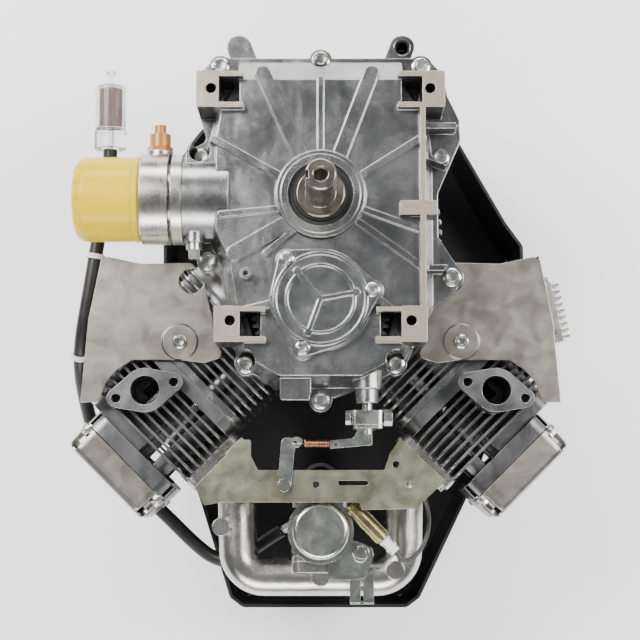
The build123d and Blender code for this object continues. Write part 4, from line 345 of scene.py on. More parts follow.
metalLooks = {
    "turnedShaft": dict(
        dark=(0.33, 0.28, 0.23), light=(0.52, 0.46, 0.39), lineColour=(0.62, 0.57, 0.5),
        lineShow=0.3, stretch=(0.02, 0.02, 1.0), lines=2600.0, rough=(0.17, 0.26), bump=0.10,
        edge=0.7, edgeRadius=0.0006, shadeAndSpecks=0.4, speckShow=0.2),
    "machinedAluminium": dict(
        dark=(0.36, 0.345, 0.31), light=(0.58, 0.56, 0.51), lineColour=(0.78, 0.76, 0.72),
        lineShow=0.4, stretch=(1.0, 0.02, 0.02), lines=2200.0, rough=(0.24, 0.34), bump=0.16,
        edge=0.6, edgeRadius=0.0007, shadeAndSpecks=0.45, speckShow=0.35),
    "nickelSheet": dict(
        dark=(0.30, 0.27, 0.23), light=(0.42, 0.385, 0.33), lineColour=(0.50, 0.47, 0.42),
        lineShow=0.25, stretch=(0.05, 1.0, 1.0), lines=1500.0, rough=(0.30, 0.40), bump=0.06,
        edge=0.6, edgeRadius=0.0008, shadeAndSpecks=0.4, speckShow=0.55, specks=330.0),
    "zincPlate": dict(
        dark=(0.42, 0.44, 0.42), light=(0.64, 0.65, 0.61), lineColour=(0.82, 0.82, 0.8),
        lineShow=0.3, stretch=(1.0, 1.0, 0.2), lines=900.0, rough=(0.20, 0.32), bump=0.05,
        edge=0.7, edgeRadius=0.0004, shadeAndSpecks=0.5, speckShow=0.35,
        iris=((0.62, 0.60, 0.44), (0.5, 0.54, 0.55))),
    "yellowChromate": dict(
        dark=(0.27, 0.265, 0.19), light=(0.42, 0.41, 0.29), lineColour=(0.66, 0.64, 0.54),
        lineShow=0.3, stretch=(0.3, 1.0, 1.0), lines=1900.0, rough=(0.30, 0.42), bump=0.08,
        edge=0.6, edgeRadius=0.0005, shadeAndSpecks=0.3, speckShow=0.4,
        iris=((0.44, 0.40, 0.20), (0.30, 0.33, 0.28)), irisScale=380.0),
    "goldPlate": dict(
        dark=(0.34, 0.26, 0.11), light=(0.52, 0.42, 0.21), lineColour=(0.72, 0.64, 0.45),
        lineShow=0.3, stretch=(1.0, 1.0, 0.2), lines=1200.0, rough=(0.2, 0.3), bump=0.06, edge=0.6,
        edgeRadius=0.0005, shadeAndSpecks=0.45, speckShow=0.3,
        iris=((0.62, 0.45, 0.3), (0.45, 0.44, 0.25))),
    "copperCoil": dict(
        dark=(0.30, 0.13, 0.07), light=(0.55, 0.27, 0.15), lineColour=(0.7, 0.42, 0.27),
        lineShow=0.3, stretch=(1.0, 1.0, 1.0), lines=1500.0, rough=(0.22, 0.34), bump=0.05,
        edge=0.4, edgeRadius=0.0003, shadeAndSpecks=0.5, speckShow=0.2),
    "hardSteel": dict(
        dark=(0.36, 0.35, 0.34), light=(0.52, 0.51, 0.50), lineColour=(0.6, 0.6, 0.58),
        lineShow=0.3, stretch=(1.0, 1.0, 0.05), lines=1800.0, rough=(0.2, 0.3), bump=0.06,
        edge=0.5, edgeRadius=0.0005, shadeAndSpecks=0.4, speckShow=0.2),
}


# paints, plastics and rubber

def coatedSurface(name, look):
    # moulded or painted skin with a fine texture, a cloudy sheen and worn edges
    material, tree, shader = newMaterial(name)
    shader.inputs["Specular IOR Level"].default_value = look.get("specular", 0.5)
    shader.inputs["Coat Weight"].default_value = look.get("coat", 0.0)
    shader.inputs["Coat Roughness"].default_value = look.get("coatRough", 0.1)
    grain = useEffect(tree, "castGrain", {"Grain": look["grain"], "Cloud": look["cloud"]})
    edging = useEffect(tree, "edgeWearAndHighlight", {"Radius": look["edgeRadius"], "Strength": 2.4})
    shadeAndSpecks = useEffect(tree, "shadeAndSpecks", {"Reach": 0.006, "Specks": 380.0, "Speck Size": 0.09})
    colour = mixColour(tree, ramp(tree, grain["Tone"], 0.3, 0.7), look["dark"], look["light"])
    # painted shade: recesses darkened by the ambient-occlusion mask
    colour = mixColour(tree, maths(tree, "MULTIPLY", shadeAndSpecks["Shade"], look["shadeAndSpecks"]), colour, look["coatRecessShade"])
    colour = mixColour(tree, maths(tree, "MULTIPLY", shadeAndSpecks["Speck"], look["speckShow"]), colour, look["dust"])
    # edges lightened by the bevel mask: partly wear, partly a painted highlight
    colour = mixColour(tree, maths(tree, "MULTIPLY", edging["Edge"], look["edge"]), colour, look["edgeColour"])
    rough = ramp(tree, grain["Tone"], 0.3, 0.7, look["rough"][0], look["rough"][1])
    tree.links.new(colour, shader.inputs["Base Color"])
    tree.links.new(rough, shader.inputs["Roughness"])
    bump(tree, shader, grain["Height"], look["bump"], mouldGrainDepth, edging["Normal"])
    return material


# the colour mixed in by the shade mask is painted shade in recesses; the dust colour is for real specks
coatLooks = {
    "yellowPaint": dict(
        dark=(0.66, 0.45, 0.0), light=(0.74, 0.53, 0.0), coatRecessShade=(0.36, 0.20, 0.0),
        dust=(0.6, 0.40, 0.02), edgeColour=(0.85, 0.64, 0.01), rough=(0.26, 0.36), specular=0.12,
        coat=0.16, coatRough=0.08, grain=500.0, cloud=20.0, bump=0.05, edge=0.3, edgeRadius=0.0006,
        shadeAndSpecks=0.3, speckShow=0.15),
    "blackPaint": dict(
        dark=(0.012, 0.012, 0.013), light=(0.028, 0.028, 0.03), coatRecessShade=(0.03, 0.028, 0.024),
        dust=(0.12, 0.11, 0.1), edgeColour=(0.16, 0.16, 0.16), rough=(0.28, 0.42), coat=0.3,
        coatRough=0.2, grain=900.0, cloud=25.0, bump=0.08, edge=0.35, edgeRadius=0.0006, shadeAndSpecks=0.3,
        speckShow=0.4),
    "blackPlastic": dict(
        dark=(0.008, 0.008, 0.009), light=(0.020, 0.020, 0.021), coatRecessShade=(0.02, 0.019, 0.017),
        dust=(0.10, 0.10, 0.09), edgeColour=(0.09, 0.09, 0.09), rough=(0.38, 0.52), grain=1300.0,
        cloud=22.0, bump=0.22, edge=0.3, edgeRadius=0.0007, shadeAndSpecks=0.3, speckShow=0.3),
    "blackRubber": dict(
        dark=(0.008, 0.008, 0.008), light=(0.022, 0.022, 0.022), coatRecessShade=(0.03, 0.028, 0.025),
        dust=(0.14, 0.13, 0.12), edgeColour=(0.06, 0.06, 0.06), rough=(0.34, 0.50), grain=900.0,
        cloud=60.0, bump=0.12, edge=0.25, edgeRadius=0.0005, shadeAndSpecks=0.3, speckShow=0.4),
    "whiteNylon": dict(
        dark=(0.74, 0.74, 0.70), light=(0.86, 0.86, 0.83), coatRecessShade=(0.4, 0.38, 0.33),
        dust=(0.5, 0.48, 0.42), edgeColour=(0.95, 0.95, 0.93), rough=(0.34, 0.46), grain=700.0,
        cloud=50.0, bump=0.06, edge=0.3, edgeRadius=0.0003, shadeAndSpecks=0.5, speckShow=0.3),
    "greyWire": dict(
        dark=(0.02, 0.02, 0.02), light=(0.05, 0.05, 0.05), coatRecessShade=(0.02, 0.02, 0.02),
        dust=(0.2, 0.19, 0.17), edgeColour=(0.2, 0.2, 0.2), rough=(0.28, 0.4), grain=900.0,
        cloud=80.0, bump=0.05, edge=0.2, edgeRadius=0.0002, shadeAndSpecks=0.3, speckShow=0.3),
    "amberPlastic": dict(
        dark=(0.36, 0.13, 0.02), light=(0.55, 0.24, 0.04), coatRecessShade=(0.12, 0.05, 0.02),
        dust=(0.5, 0.3, 0.12), edgeColour=(0.75, 0.4, 0.12), rough=(0.2, 0.34), coat=0.4,
        coatRough=0.15, grain=600.0, cloud=70.0, bump=0.06, edge=0.4, edgeRadius=0.0004, shadeAndSpecks=0.5,
        speckShow=0.3),
    "gasketSheet": dict(
        dark=(0.05, 0.05, 0.048), light=(0.11, 0.11, 0.105), coatRecessShade=(0.02, 0.02, 0.02),
        dust=(0.2, 0.19, 0.17), edgeColour=(0.2, 0.2, 0.2), rough=(0.6, 0.8), grain=1800.0,
        cloud=60.0, bump=0.3, edge=0.1, edgeRadius=0.0002, shadeAndSpecks=0.3, speckShow=0.3),
    "redPaper": dict(
        dark=(0.22, 0.06, 0.03), light=(0.40, 0.15, 0.09), coatRecessShade=(0.12, 0.03, 0.02),
        dust=(0.45, 0.25, 0.18), edgeColour=(0.55, 0.3, 0.2), rough=(0.7, 0.85), grain=2500.0,
        cloud=90.0, bump=0.3, edge=0.3, edgeRadius=0.0003, shadeAndSpecks=0.5, speckShow=0.2),
    "creamPaper": dict(
        dark=(0.55, 0.48, 0.34), light=(0.72, 0.66, 0.50), coatRecessShade=(0.3, 0.25, 0.18),
        dust=(0.4, 0.35, 0.28), edgeColour=(0.8, 0.75, 0.62), rough=(0.7, 0.85), grain=2500.0,
        cloud=50.0, bump=0.3, edge=0.2, edgeRadius=0.0004, shadeAndSpecks=0.4, speckShow=0.3),
}


def clearCase():
    # clear moulded body of the fuel filter, slightly clouded by use
    material, tree, shader = newMaterial("clearCase")
    shader.inputs["Transmission Weight"].default_value = 0.92
    shader.inputs["IOR"].default_value = 1.3
    grain = useEffect(tree, "castGrain", {"Grain": 700.0, "Cloud": 60.0})
    edging = useEffect(tree, "edgeWearAndHighlight", {"Radius": 0.0006, "Strength": 2.0})
    colour = mixColour(tree, ramp(tree, grain["Tone"], 0.3, 0.7), (0.86, 0.87, 0.87), (0.96, 0.96, 0.96))
    tree.links.new(colour, shader.inputs["Base Color"])
    tree.links.new(ramp(tree, grain["Tone"], 0.3, 0.7, 0.06, 0.2), shader.inputs["Roughness"])
    bump(tree, shader, grain["Height"], 0.05, mouldGrainDepth, edging["Normal"])
    return material


materials = {name: castMetal(name, look) for name, look in castLooks.items()}
materials.update({name: plainMetal(name, look) for name, look in metalLooks.items()})
materials.update({name: coatedSurface(name, look) for name, look in coatLooks.items()})
materials["clearCase"] = clearCase()
print("materials built:", len(materials))

finishes = {
    "brightCasting": ["sump", "crankcase"],
    "coverCasting": ["pump_cover"],
    "finCasting": ["cylinder_head_left", "cylinder_head_right"],
    "manifoldCasting": ["intake_manifold", "carburetor"],
    "innerCasting": ["piston_left", "piston_right", "connecting_rod_left", "connecting_rod_right",
                     "rocker_arms"],
    "turnedShaft": ["crankshaft"],
    "machinedAluminium": ["filter_adapter", "flywheel", "voltage_regulator"],
    "nickelSheet": ["valve_cover_left", "valve_cover_right", "cylinder_shield_left",
                    "cylinder_shield_right"],
    "zincPlate": ["flange_bolts", "small_screws", "float_bowl", "governor_lever", "control_lever",
                  "pipe_plugs", "spark_plugs", "throttle_shaft", "choke_shaft", "flywheel_nut"],
    "yellowChromate": ["control_bracket"],
    "goldPlate": ["fuel_solenoid"],
    "copperCoil": ["governor_spring"],
    "hardSteel": ["valves", "valve_springs", "pushrods", "crank_gear", "camshaft", "oil_pump_rotor",
                  "governor_gear"],
    "yellowPaint": ["oil_filter"],
    "blackPaint": ["ignition_coils", "starter_motor", "oil_fill_tube"],
    "blackPlastic": ["blower_housing", "rotating_screen", "air_cleaner_cover", "air_cleaner_knob",
                     "dipstick"],
    "blackRubber": ["lower_oil_seal", "plug_leads", "fuel_hose"],
    "whiteNylon": ["hose_ties"],
    "greyWire": ["solenoid_lead"],
    "amberPlastic": ["oil_pressure_switch"],
    "gasketSheet": ["gaskets"],
    "redPaper": ["fuel_filter_element"],
    "creamPaper": ["air_filter_element"],
    "clearCase": ["fuel_filter"],
}
for finish, names in finishes.items():
    for nodeName in names:
        mesh = nodes[nodeName].data
        mesh.materials.clear()
        mesh.materials.append(materials[finish])
unfinished = set(nodes) - {name for names in finishes.values() for name in names}
print("nodes without a finish:", sorted(unfinished))


# pieces made here

def finishPiece(name, mesh, body, finish, standsFor=(), smooth=40):
    piece = bpy.data.objects.new(name, mesh)
    bpy.context.scene.collection.objects.link(piece)
    if finish and not mesh.materials:
        mesh.materials.append(materials[finish])
    mesh.shade_smooth()
    mesh.set_sharp_from_angle(angle=math.radians(smooth))
    if body:
        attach(piece, body)
    for nodeName in standsFor:
        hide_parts(nodeName)
    return piece


def solidsOf(nodeName):
    # vertex positions of each separate solid in a node
    work = bmesh.new()
    work.from_mesh(nodes[nodeName].data)
    bmesh.ops.remove_doubles(work, verts=work.verts, dist=1e-6)
    left = set(work.verts)
    solids = []
    while left:
        reached = [left.pop()]
        found = []
        while reached:
            vert = reached.pop()
            found.append(vert)
            for edge in vert.link_edges:
                other = edge.other_vert(vert)
                if other in left:
                    left.remove(other)
                    reached.append(other)
        solids.append(np.array([v.co for v in found]))
    work.free()
    solids.sort(key=lambda points: tuple(np.round(points.mean(0), 4)))
    return solids


def boltPlace(points):
    # seat of a flange bolt, the way its shank points, and the radius of its flange
    centre = points.mean(0)
    spread = np.cov((points - centre).T)
    values, vectors = np.linalg.eigh(spread)
    odd = 0 if abs(values[1] - values[0]) > abs(values[2] - values[1]) else 2
    way = vectors[:, odd]
    along = (points - centre) @ way
    radial = np.linalg.norm(points - centre - np.outer(along, way), axis=1)
    flange = radial.max()
    seats = along[radial > 0.98 * flange]
    if seats.mean() > (along.max() + along.min()) / 2:
        way, along, seats = -way, -along, -seats
    return centre + way * seats.max(), way, flange


boltHead = {"flange": 1.0, "hexagon": 0.84, "height": 0.74, "dish": 0.10, "shank": 0.487, "length": 1.0}


def boltUnit():
    # hex flange bolt of flange radius 1, its seat at z = 0 and its head below
    work = bmesh.new()
    sides = 48
    hexRadius = boltHead["hexagon"]

    def hexAt(angle, size):
        sector = (angle + math.pi / 6) % (math.pi / 3) - math.pi / 6
        flat = size * math.cos(math.pi / 6) / math.cos(sector)
        return min(flat, size * 0.965)

    rings = []
    for kind, radius, height in (
            ("tip", boltHead["shank"], boltHead["length"]), ("round", boltHead["shank"], 0.0),
            ("round", 0.97, 0.0), ("round", 1.0, -0.03), ("round", 1.0, -0.09), ("round", 0.96, -0.12),
            ("hex", 1.02, -0.20), ("hex", 1.0, -0.24), ("hex", 1.0, -0.66), ("hexCap", 0.93, -0.735),
            ("round", 0.60, -0.745), ("round", 0.55, -0.735), ("round", 0.50, -0.65), ("round", 0.30, -0.62)):
        ring = []
        for index in range(sides):
            angle = 2 * math.pi * index / sides
            size = radius
            if kind == "hex":
                size = hexAt(angle, hexRadius) * radius
            if kind == "hexCap":
                size = min(hexAt(angle, hexRadius), hexRadius * 0.9) * 0.98
            ring.append(work.verts.new((size * math.cos(angle), size * math.sin(angle), height)))
        rings.append(ring)
    for low, high in zip(rings, rings[1:]):
        for i in range(sides):
            j = (i + 1) % sides
            work.faces.new((low[i], low[j], high[j], high[i]))
    work.faces.new(rings[0])
    work.faces.new(rings[-1])
    bmesh.ops.recalc_face_normals(work, faces=work.faces)
    mesh = bpy.data.meshes.new("boltUnit")
    work.to_mesh(mesh)
    work.free()
    return mesh


def placeTree(name):
    # sets a unit piece on every point, turned to the point's facing and scaled by its girth
    tree = bpy.data.node_groups.new(name, "GeometryNodeTree")
    tree.interface.new_socket(name="Geometry", in_out="INPUT", socket_type="NodeSocketGeometry")
    for label, kind in (("Unit", "NodeSocketObject"), ("Finish", "NodeSocketMaterial"),
                        ("Random Turn", "NodeSocketFloat"), ("Seed", "NodeSocketInt")):
        tree.interface.new_socket(name=label, in_out="INPUT", socket_type=kind)
    tree.interface.new_socket(name="Geometry", in_out="OUTPUT", socket_type="NodeSocketGeometry")
    given = put(tree, "NodeGroupInput")
    result = put(tree, "NodeGroupOutput")
    points = put(tree, "GeometryNodeMeshToPoints", {"Mesh": given.outputs["Geometry"]})
    unit = put(tree, "GeometryNodeObjectInfo", {"Object": given.outputs["Unit"]})
    facing = put(tree, "GeometryNodeInputNamedAttribute", {"Name": "facing"}, data_type="FLOAT_VECTOR")
    girth = put(tree, "GeometryNodeInputNamedAttribute", {"Name": "girth"}, data_type="FLOAT")
    aligned = put(
        tree, "FunctionNodeAlignRotationToVector", {"Vector": facing.outputs["Attribute"]}, axis="Z")
    placed = put(tree, "GeometryNodeInstanceOnPoints", {
        "Points": points.outputs[0], "Instance": unit.outputs["Geometry"],
        "Rotation": aligned.outputs[0], "Scale": girth.outputs["Attribute"]})
    turn = put(tree, "FunctionNodeRandomValue", {"Seed": given.outputs["Seed"]}, data_type="FLOAT")
    tree.links.new(given.outputs["Random Turn"], turn.inputs[3])
    spin = put(tree, "ShaderNodeCombineXYZ", {"Z": turn.outputs[1]})
    turned = put(tree, "GeometryNodeRotateInstances", {
        "Instances": placed.outputs[0], "Rotation": spin.outputs[0], "Local Space": True})
    real = put(tree, "GeometryNodeRealizeInstances", {"Geometry": turned.outputs[0]})
    done = put(tree, "GeometryNodeSetMaterial", {
        "Geometry": real.outputs[0], "Material": given.outputs["Finish"]})
    tree.links.new(done.outputs[0], result.inputs[0])
    return tree


placing = placeTree("placeOnPoints")


def bakeTree(name, startMesh, tree, values):
    # runs a geometry tree on a mesh with its inputs set, and keeps the result as a plain mesh
    holder = bpy.data.objects.new(name + "Holder", startMesh)
    bpy.context.scene.collection.objects.link(holder)
    modifier = holder.modifiers.new("make", "NODES")
    modifier.node_group = tree
    sockets = {item.name: item.identifier for item in tree.interface.items_tree if item.in_out == "INPUT"}
    for label, value in values.items():
        modifier[sockets[label]] = value
    bpy.context.view_layer.update()
    evaluated = holder.evaluated_get(bpy.context.evaluated_depsgraph_get())
    mesh = bpy.data.meshes.new_from_object(evaluated)
    mesh.name = name
    bpy.data.objects.remove(holder)
    return mesh


def placedUnits(name, unitMesh, places, finish, randomTurn, seed):
    points = bpy.data.meshes.new(name + "Points")
    points.from_pydata([tuple(place[0]) for place in places], [], [])
    points.attributes.new("facing", "FLOAT_VECTOR", "POINT")
    points.attributes.new("girth", "FLOAT", "POINT")
    facing, girth = points.attributes["facing"], points.attributes["girth"]
    for index, (spot, way, size) in enumerate(places):
        facing.data[index].vector = tuple(way)
        girth.data[index].value = size
    unit = bpy.data.objects.new(name + "Unit", unitMesh)
    bpy.context.scene.collection.objects.link(unit)
    mesh = bakeTree(name, points, placing, {
        "Unit": unit, "Finish": materials[finish], "Random Turn": randomTurn, "Seed": seed})
    bpy.data.objects.remove(unit)
    return mesh


hexBolt = boltUnit()
fasteners = {
    "flange_bolts": {"piece": "hexFlangeBolts", "finish": "zincPlate", "seed": 3},
    "small_screws": {"piece": "hexFlangeScrews", "finish": "zincPlate", "seed": 8},
}
for nodeName, row in fasteners.items():
    places = [boltPlace(points) for points in solidsOf(nodeName)]
    mesh = placedUnits(row["piece"], hexBolt, places, row["finish"], math.pi / 3, row["seed"])
    finishPiece(row["piece"], mesh, "engine_block", None, [nodeName], 35)
    print(row["piece"], "placed:", len(places))


def ringMesh(name, profile, segments, radiusAt=None):
    # closed solid of revolution about Z; radiusAt can shape a ring round its turn
    work = bmesh.new()
    rings = []
    for radius, height in profile:
        if radius < 1e-7:
            rings.append([work.verts.new((0, 0, height))])
            continue
        ring = []
        for index in range(segments):
            angle = 2 * math.pi * index / segments
            size = radiusAt(radius, height, angle) if radiusAt else radius
            ring.append(work.verts.new((size * math.cos(angle), size * math.sin(angle), height)))
        rings.append(ring)
    for low, high in zip(rings, rings[1:]):
        for i in range(segments):
            j = (i + 1) % segments
            if len(low) == 1:
                work.faces.new((low[0], high[j], high[i]))
            elif len(high) == 1:
                work.faces.new((low[i], low[j], high[0]))
            else:
                work.faces.new((low[i], low[j], high[j], high[i]))
    bmesh.ops.recalc_face_normals(work, faces=work.faces)
    mesh = bpy.data.meshes.new(name)
    work.to_mesh(mesh)
    work.free()
    return mesh


def turnTo(way):
    # matrix that turns Z to a direction
    return Vector(way).to_track_quat("Z", "Y").to_matrix().to_4x4()


oilCan = {"seamGroove": 0.0008, "flutes": 14, "fluteDepth": 0.0016, "fluteFrom": 0.047, "segments": 168}


def buildOilCan():
    low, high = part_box("oil_filter")
    length = high.x - low.x
    rim = (high.z - low.z) / 2
    body = rim - 0.0005

    def fluted(radius, height, angle):
        share = max(0.0, min(1.0, (height - oilCan["fluteFrom"]) / 0.003))
        share *= max(0.0, min(1.0, (length - 0.0006 - height) / 0.004))
        wave = 0.5 + 0.5 * math.cos(oilCan["flutes"] * angle)
        return radius - oilCan["fluteDepth"] * share * wave ** 2

    groove = body - oilCan["seamGroove"]
    profile = [
        (0, 0.0004), (rim - 0.0045, 0.0004), (rim - 0.0035, 0.0), (rim - 0.0012, 0.0), (rim - 0.0003, 0.0005),
        (rim, 0.0014), (rim, 0.0046), (rim - 0.0004, 0.0054), (groove, 0.0060), (groove, 0.0066),
        (body - 0.0001, 0.0074), (body, 0.0086), (body, 0.020), (body, 0.034), (body, 0.0455),
        (body - 0.0001, 0.047),
        (body - 0.0005, 0.049), (body - 0.0014, 0.051), (body - 0.0029, 0.053), (body - 0.0052, 0.0548),
        (body - 0.0082, 0.0561), (body - 0.012, 0.0568), (body - 0.018, length - 0.0003), (0, length)]
    mesh = ringMesh("oilCan", profile, oilCan["segments"], fluted)
    base = Matrix.Translation((low.x, (low.y + high.y) / 2, (low.z + high.z) / 2))
    mesh.transform(base @ turnTo((1, 0, 0)))
    finishPiece("oilCan", mesh, "engine_block", "yellowPaint", ["oil_filter"], 50)


buildOilCan()


def coilTree(name):
    # wire wound along Z
    tree = bpy.data.node_groups.new(name, "GeometryNodeTree")
    for label, kind in (("Turns", "NodeSocketFloat"), ("Coil Radius", "NodeSocketFloat"),
                        ("Length", "NodeSocketFloat"), ("Wire Radius", "NodeSocketFloat"),
                        ("Finish", "NodeSocketMaterial")):
        tree.interface.new_socket(name=label, in_out="INPUT", socket_type=kind)
    tree.interface.new_socket(name="Geometry", in_out="OUTPUT", socket_type="NodeSocketGeometry")
    given = put(tree, "NodeGroupInput")
    result = put(tree, "NodeGroupOutput")
    spiral = put(tree, "GeometryNodeCurveSpiral", {
        "Resolution": 28, "Rotations": given.outputs["Turns"], "Start Radius": given.outputs["Coil Radius"],
        "End Radius": given.outputs["Coil Radius"], "Height": given.outputs["Length"]})
    wire = put(tree, "GeometryNodeCurvePrimitiveCircle", {
        "Resolution": 10, "Radius": given.outputs["Wire Radius"]})
    coil = put(tree, "GeometryNodeCurveToMesh", {
        "Curve": spiral.outputs[0], "Profile Curve": wire.outputs[0], "Fill Caps": True})
    real = put(tree, "GeometryNodeRealizeInstances", {"Geometry": coil.outputs[0]})
    done = put(tree, "GeometryNodeSetMaterial", {
        "Geometry": real.outputs[0], "Material": given.outputs["Finish"]})
    tree.links.new(done.outputs[0], result.inputs[0])
    return tree


winding = coilTree("woundWire")


def coilMesh(name, turns, radius, length, wire, finish):
    return bakeTree(name, bpy.data.meshes.new(name + "Start"), winding, {
        "Turns": turns, "Coil Radius": radius, "Length": length, "Wire Radius": wire,
        "Finish": materials[finish]})


def wireMesh(name, points, radius, sides=10):
    # round wire along a smooth curve through control points
    curve = bpy.data.curves.new(name + "Path", "CURVE")
    curve.dimensions = "3D"
    curve.bevel_depth = radius
    curve.bevel_resolution = max(1, sides // 4)
    curve.use_fill_caps = True
    curve.resolution_u = 8
    spline = curve.splines.new("NURBS")
    spline.points.add(len(points) - 1)
    for index, point in enumerate(points):
        spline.points[index].co = (*point, 1.0)
    spline.order_u = 3
    spline.use_endpoint_u = True
    holder = bpy.data.objects.new(name + "Holder", curve)
    bpy.context.scene.collection.objects.link(holder)
    bpy.context.view_layer.update()
    mesh = bpy.data.meshes.new_from_object(holder.evaluated_get(bpy.context.evaluated_depsgraph_get()))
    bpy.data.objects.remove(holder)
    mesh.name = name
    return mesh


def joinMeshes(name, meshes):
    # one mesh from several, each keeping its own materials
    work = bmesh.new()
    kept = []
    for mesh in meshes:
        offset = len(kept)
        kept.extend(mesh.materials)
        first = len(work.faces)
        work.from_mesh(mesh)
        work.faces.ensure_lookup_table()
        for index in range(first, len(work.faces)):
            work.faces[index].material_index += offset
    joined = bpy.data.meshes.new(name)
    work.to_mesh(joined)
    work.free()
    for material in kept:
        joined.materials.append(material)
    return joined


governorCoil = {"turns": 15, "wire": 0.00065, "hookReach": 0.0075}


def buildGovernorCoil():
    low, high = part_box("governor_spring")
    middle = (low + high) / 2
    radius = (high.z - low.z) / 2 - governorCoil["wire"]
    wire = governorCoil["wire"]
    length = high.x - low.x - 2 * wire
    coil = coilMesh("governorCoil", governorCoil["turns"], radius, length, wire, "copperCoil")
    coil.transform(Matrix.Translation((low.x + wire, middle.y, middle.z)) @ turnTo((1, 0, 0)))
    hooks = []
    for end, side in ((low.x, -1), (high.x, 1)):
        reach = governorCoil["hookReach"] * side
        hook = wireMesh("governorHook", [
            (end, middle.y, middle.z + radius), (end + reach * 0.3, middle.y, middle.z + radius * 0.3),
            (end + reach * 0.8, middle.y, middle.z), (end + reach * 1.1, middle.y, middle.z - 0.0026),
            (end + reach * 1.3, middle.y, middle.z - 0.0008),
            (end + reach * 1.1, middle.y, middle.z + 0.0024),
            (end + reach * 0.8, middle.y, middle.z + 0.0016)], wire)
        hook.materials.append(materials["zincPlate"])
        hooks.append(hook)
    mesh = joinMeshes("governorCoil", [coil] + hooks)
    piece = finishPiece("governorCoil", mesh, None, None, ["governor_spring"], 60)
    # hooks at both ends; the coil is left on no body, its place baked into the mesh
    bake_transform(piece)


buildGovernorCoil()

valveCoil = {"turns": 5.5, "wire": 0.0011}


def buildValveCoils():
    coils = []
    for points in solidsOf("valve_springs"):
        centre = points.mean(0)
        side = 1 if centre[0] > 0 else -1
        way = np.array((side * math.sqrt(0.5), -math.sqrt(0.5), 0.0))
        along = (points - centre) @ way
        wire = valveCoil["wire"]
        radius = np.linalg.norm(points - centre - np.outer(along, way), axis=1).max() - wire
        length = along.max() - along.min() - 2 * wire
        coil = coilMesh("valveCoil", valveCoil["turns"], radius, length, wire, "hardSteel")
        start = centre + way * (along.min() + wire)
        coil.transform(Matrix.Translation(tuple(start)) @ turnTo(way))
        coils.append(coil)
    finishPiece("valveCoils", joinMeshes("valveCoils", coils), "engine_block", None, ["valve_springs"], 60)


buildValveCoils()

pleatedPaper = {"pleats": 24, "depth": 0.0024, "layers": 14, "wobble": 0.00018}


def buildPleatedPaper():
    low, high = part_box("fuel_filter_element")
    middle = (low + high) / 2
    outer = (high.z - low.z) / 2
    length = high.y - low.y
    pleats = pleatedPaper["pleats"]

    def folded(radius, height, angle):
        if radius < outer * 0.5:
            return radius
        wave = abs(((angle * pleats / (2 * math.pi)) % 1.0) * 2 - 1)
        drift = pleatedPaper["wobble"] * math.sin(7 * angle + 260 * height)
        return radius - pleatedPaper["depth"] * wave + drift * wave

    layers = pleatedPaper["layers"]
    profile = [(0, 0), (outer, 0)]
    profile += [(outer, length * (i + 1) / (layers + 1)) for i in range(layers)]
    profile += [(outer, length), (0, length)]
    mesh = ringMesh("pleatedPaper", profile, pleats * 8, folded)
    mesh.transform(Matrix.Translation((middle.x, low.y, middle.z)) @ turnTo((0, 1, 0)))
    finishPiece("pleatedPaper", mesh, "engine_block", "redPaper", ["fuel_filter_element"], 25)


buildPleatedPaper()
print("oil can, coils and pleated paper made")

fuelLine = {"radius": 0.0063, "length": 0.5157, "route": (
    (0.187, 0.0554, 0.090), (0.1875, 0.038, 0.091), (0.191, 0.015, 0.095), (0.198, -0.028, 0.096),
    (0.205, -0.074, 0.096), (0.212, -0.112, 0.102), (0.215, -0.138, 0.118), (0.214, -0.162, 0.145),
    (0.210, -0.188, 0.168), (0.196, -0.216, 0.178), (0.170, -0.243, 0.180), (0.142, -0.268, 0.180),
    (0.118, -0.292, 0.180), (0.098, -0.308, 0.179), (0.076, -0.311, 0.173), (0.054, -0.2932, 0.1589),
    (0.034, -0.281, 0.150))}
solenoidWire = {"radius": 0.0018, "length": 0.102, "route": (
    (-0.06492, -0.29903, 0.085), (-0.071, -0.309, 0.086), (-0.083, -0.303, 0.090), (-0.092, -0.289, 0.094),
    (-0.095, -0.272, 0.094), (-0.092, -0.257, 0.090), (-0.086, -0.2425, 0.082), (-0.0845, -0.240, 0.0704))}


def cordCurve(name, row, finish):
    # round cord along one smooth spline
    curve = bpy.data.curves.new(name, "CURVE")
    curve.dimensions = "3D"
    curve.bevel_depth = row["radius"]
    curve.bevel_resolution = 5
    curve.use_fill_caps = True
    curve.resolution_u = 10
    spline = curve.splines.new("NURBS")
    spline.points.add(len(row["route"]) - 1)
    for index, point in enumerate(row["route"]):
        spline.points[index].co = (*point, 1.0)
    spline.order_u = 3
    spline.use_endpoint_u = True
    curve.materials.append(materials[finish])
    piece = bpy.data.objects.new(name, curve)
    bpy.context.scene.collection.objects.link(piece)
    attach(piece, "engine_block")
    return piece


hosePiece = cordCurve("fuelLine", fuelLine, "blackRubber")
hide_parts("fuel_hose")
wirePiece = cordCurve("solenoidWire", solenoidWire, "greyWire")
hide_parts("solenoid_lead")

leadConnector = {"width": 0.011, "depth": 0.009, "length": 0.015, "start": 0.038, "round": 0.0012}


def extrudedOutline(name, outline, thickness, rounding=0.0):
    # closed plate from an outline in X and Y, standing on z = 0, its rims rounded
    work = bmesh.new()
    face = work.faces.new([work.verts.new((x, y, 0.0)) for x, y in outline])
    grown = bmesh.ops.extrude_face_region(work, geom=[face])
    lifted = [item for item in grown["geom"] if isinstance(item, bmesh.types.BMVert)]
    bmesh.ops.translate(work, vec=(0, 0, thickness), verts=lifted)
    bmesh.ops.recalc_face_normals(work, faces=work.faces)
    if rounding:
        bmesh.ops.bevel(
            work, geom=list(work.edges), offset=rounding, segments=3, profile=0.7, affect="EDGES")
    mesh = bpy.data.meshes.new(name)
    work.to_mesh(mesh)
    work.free()
    return mesh


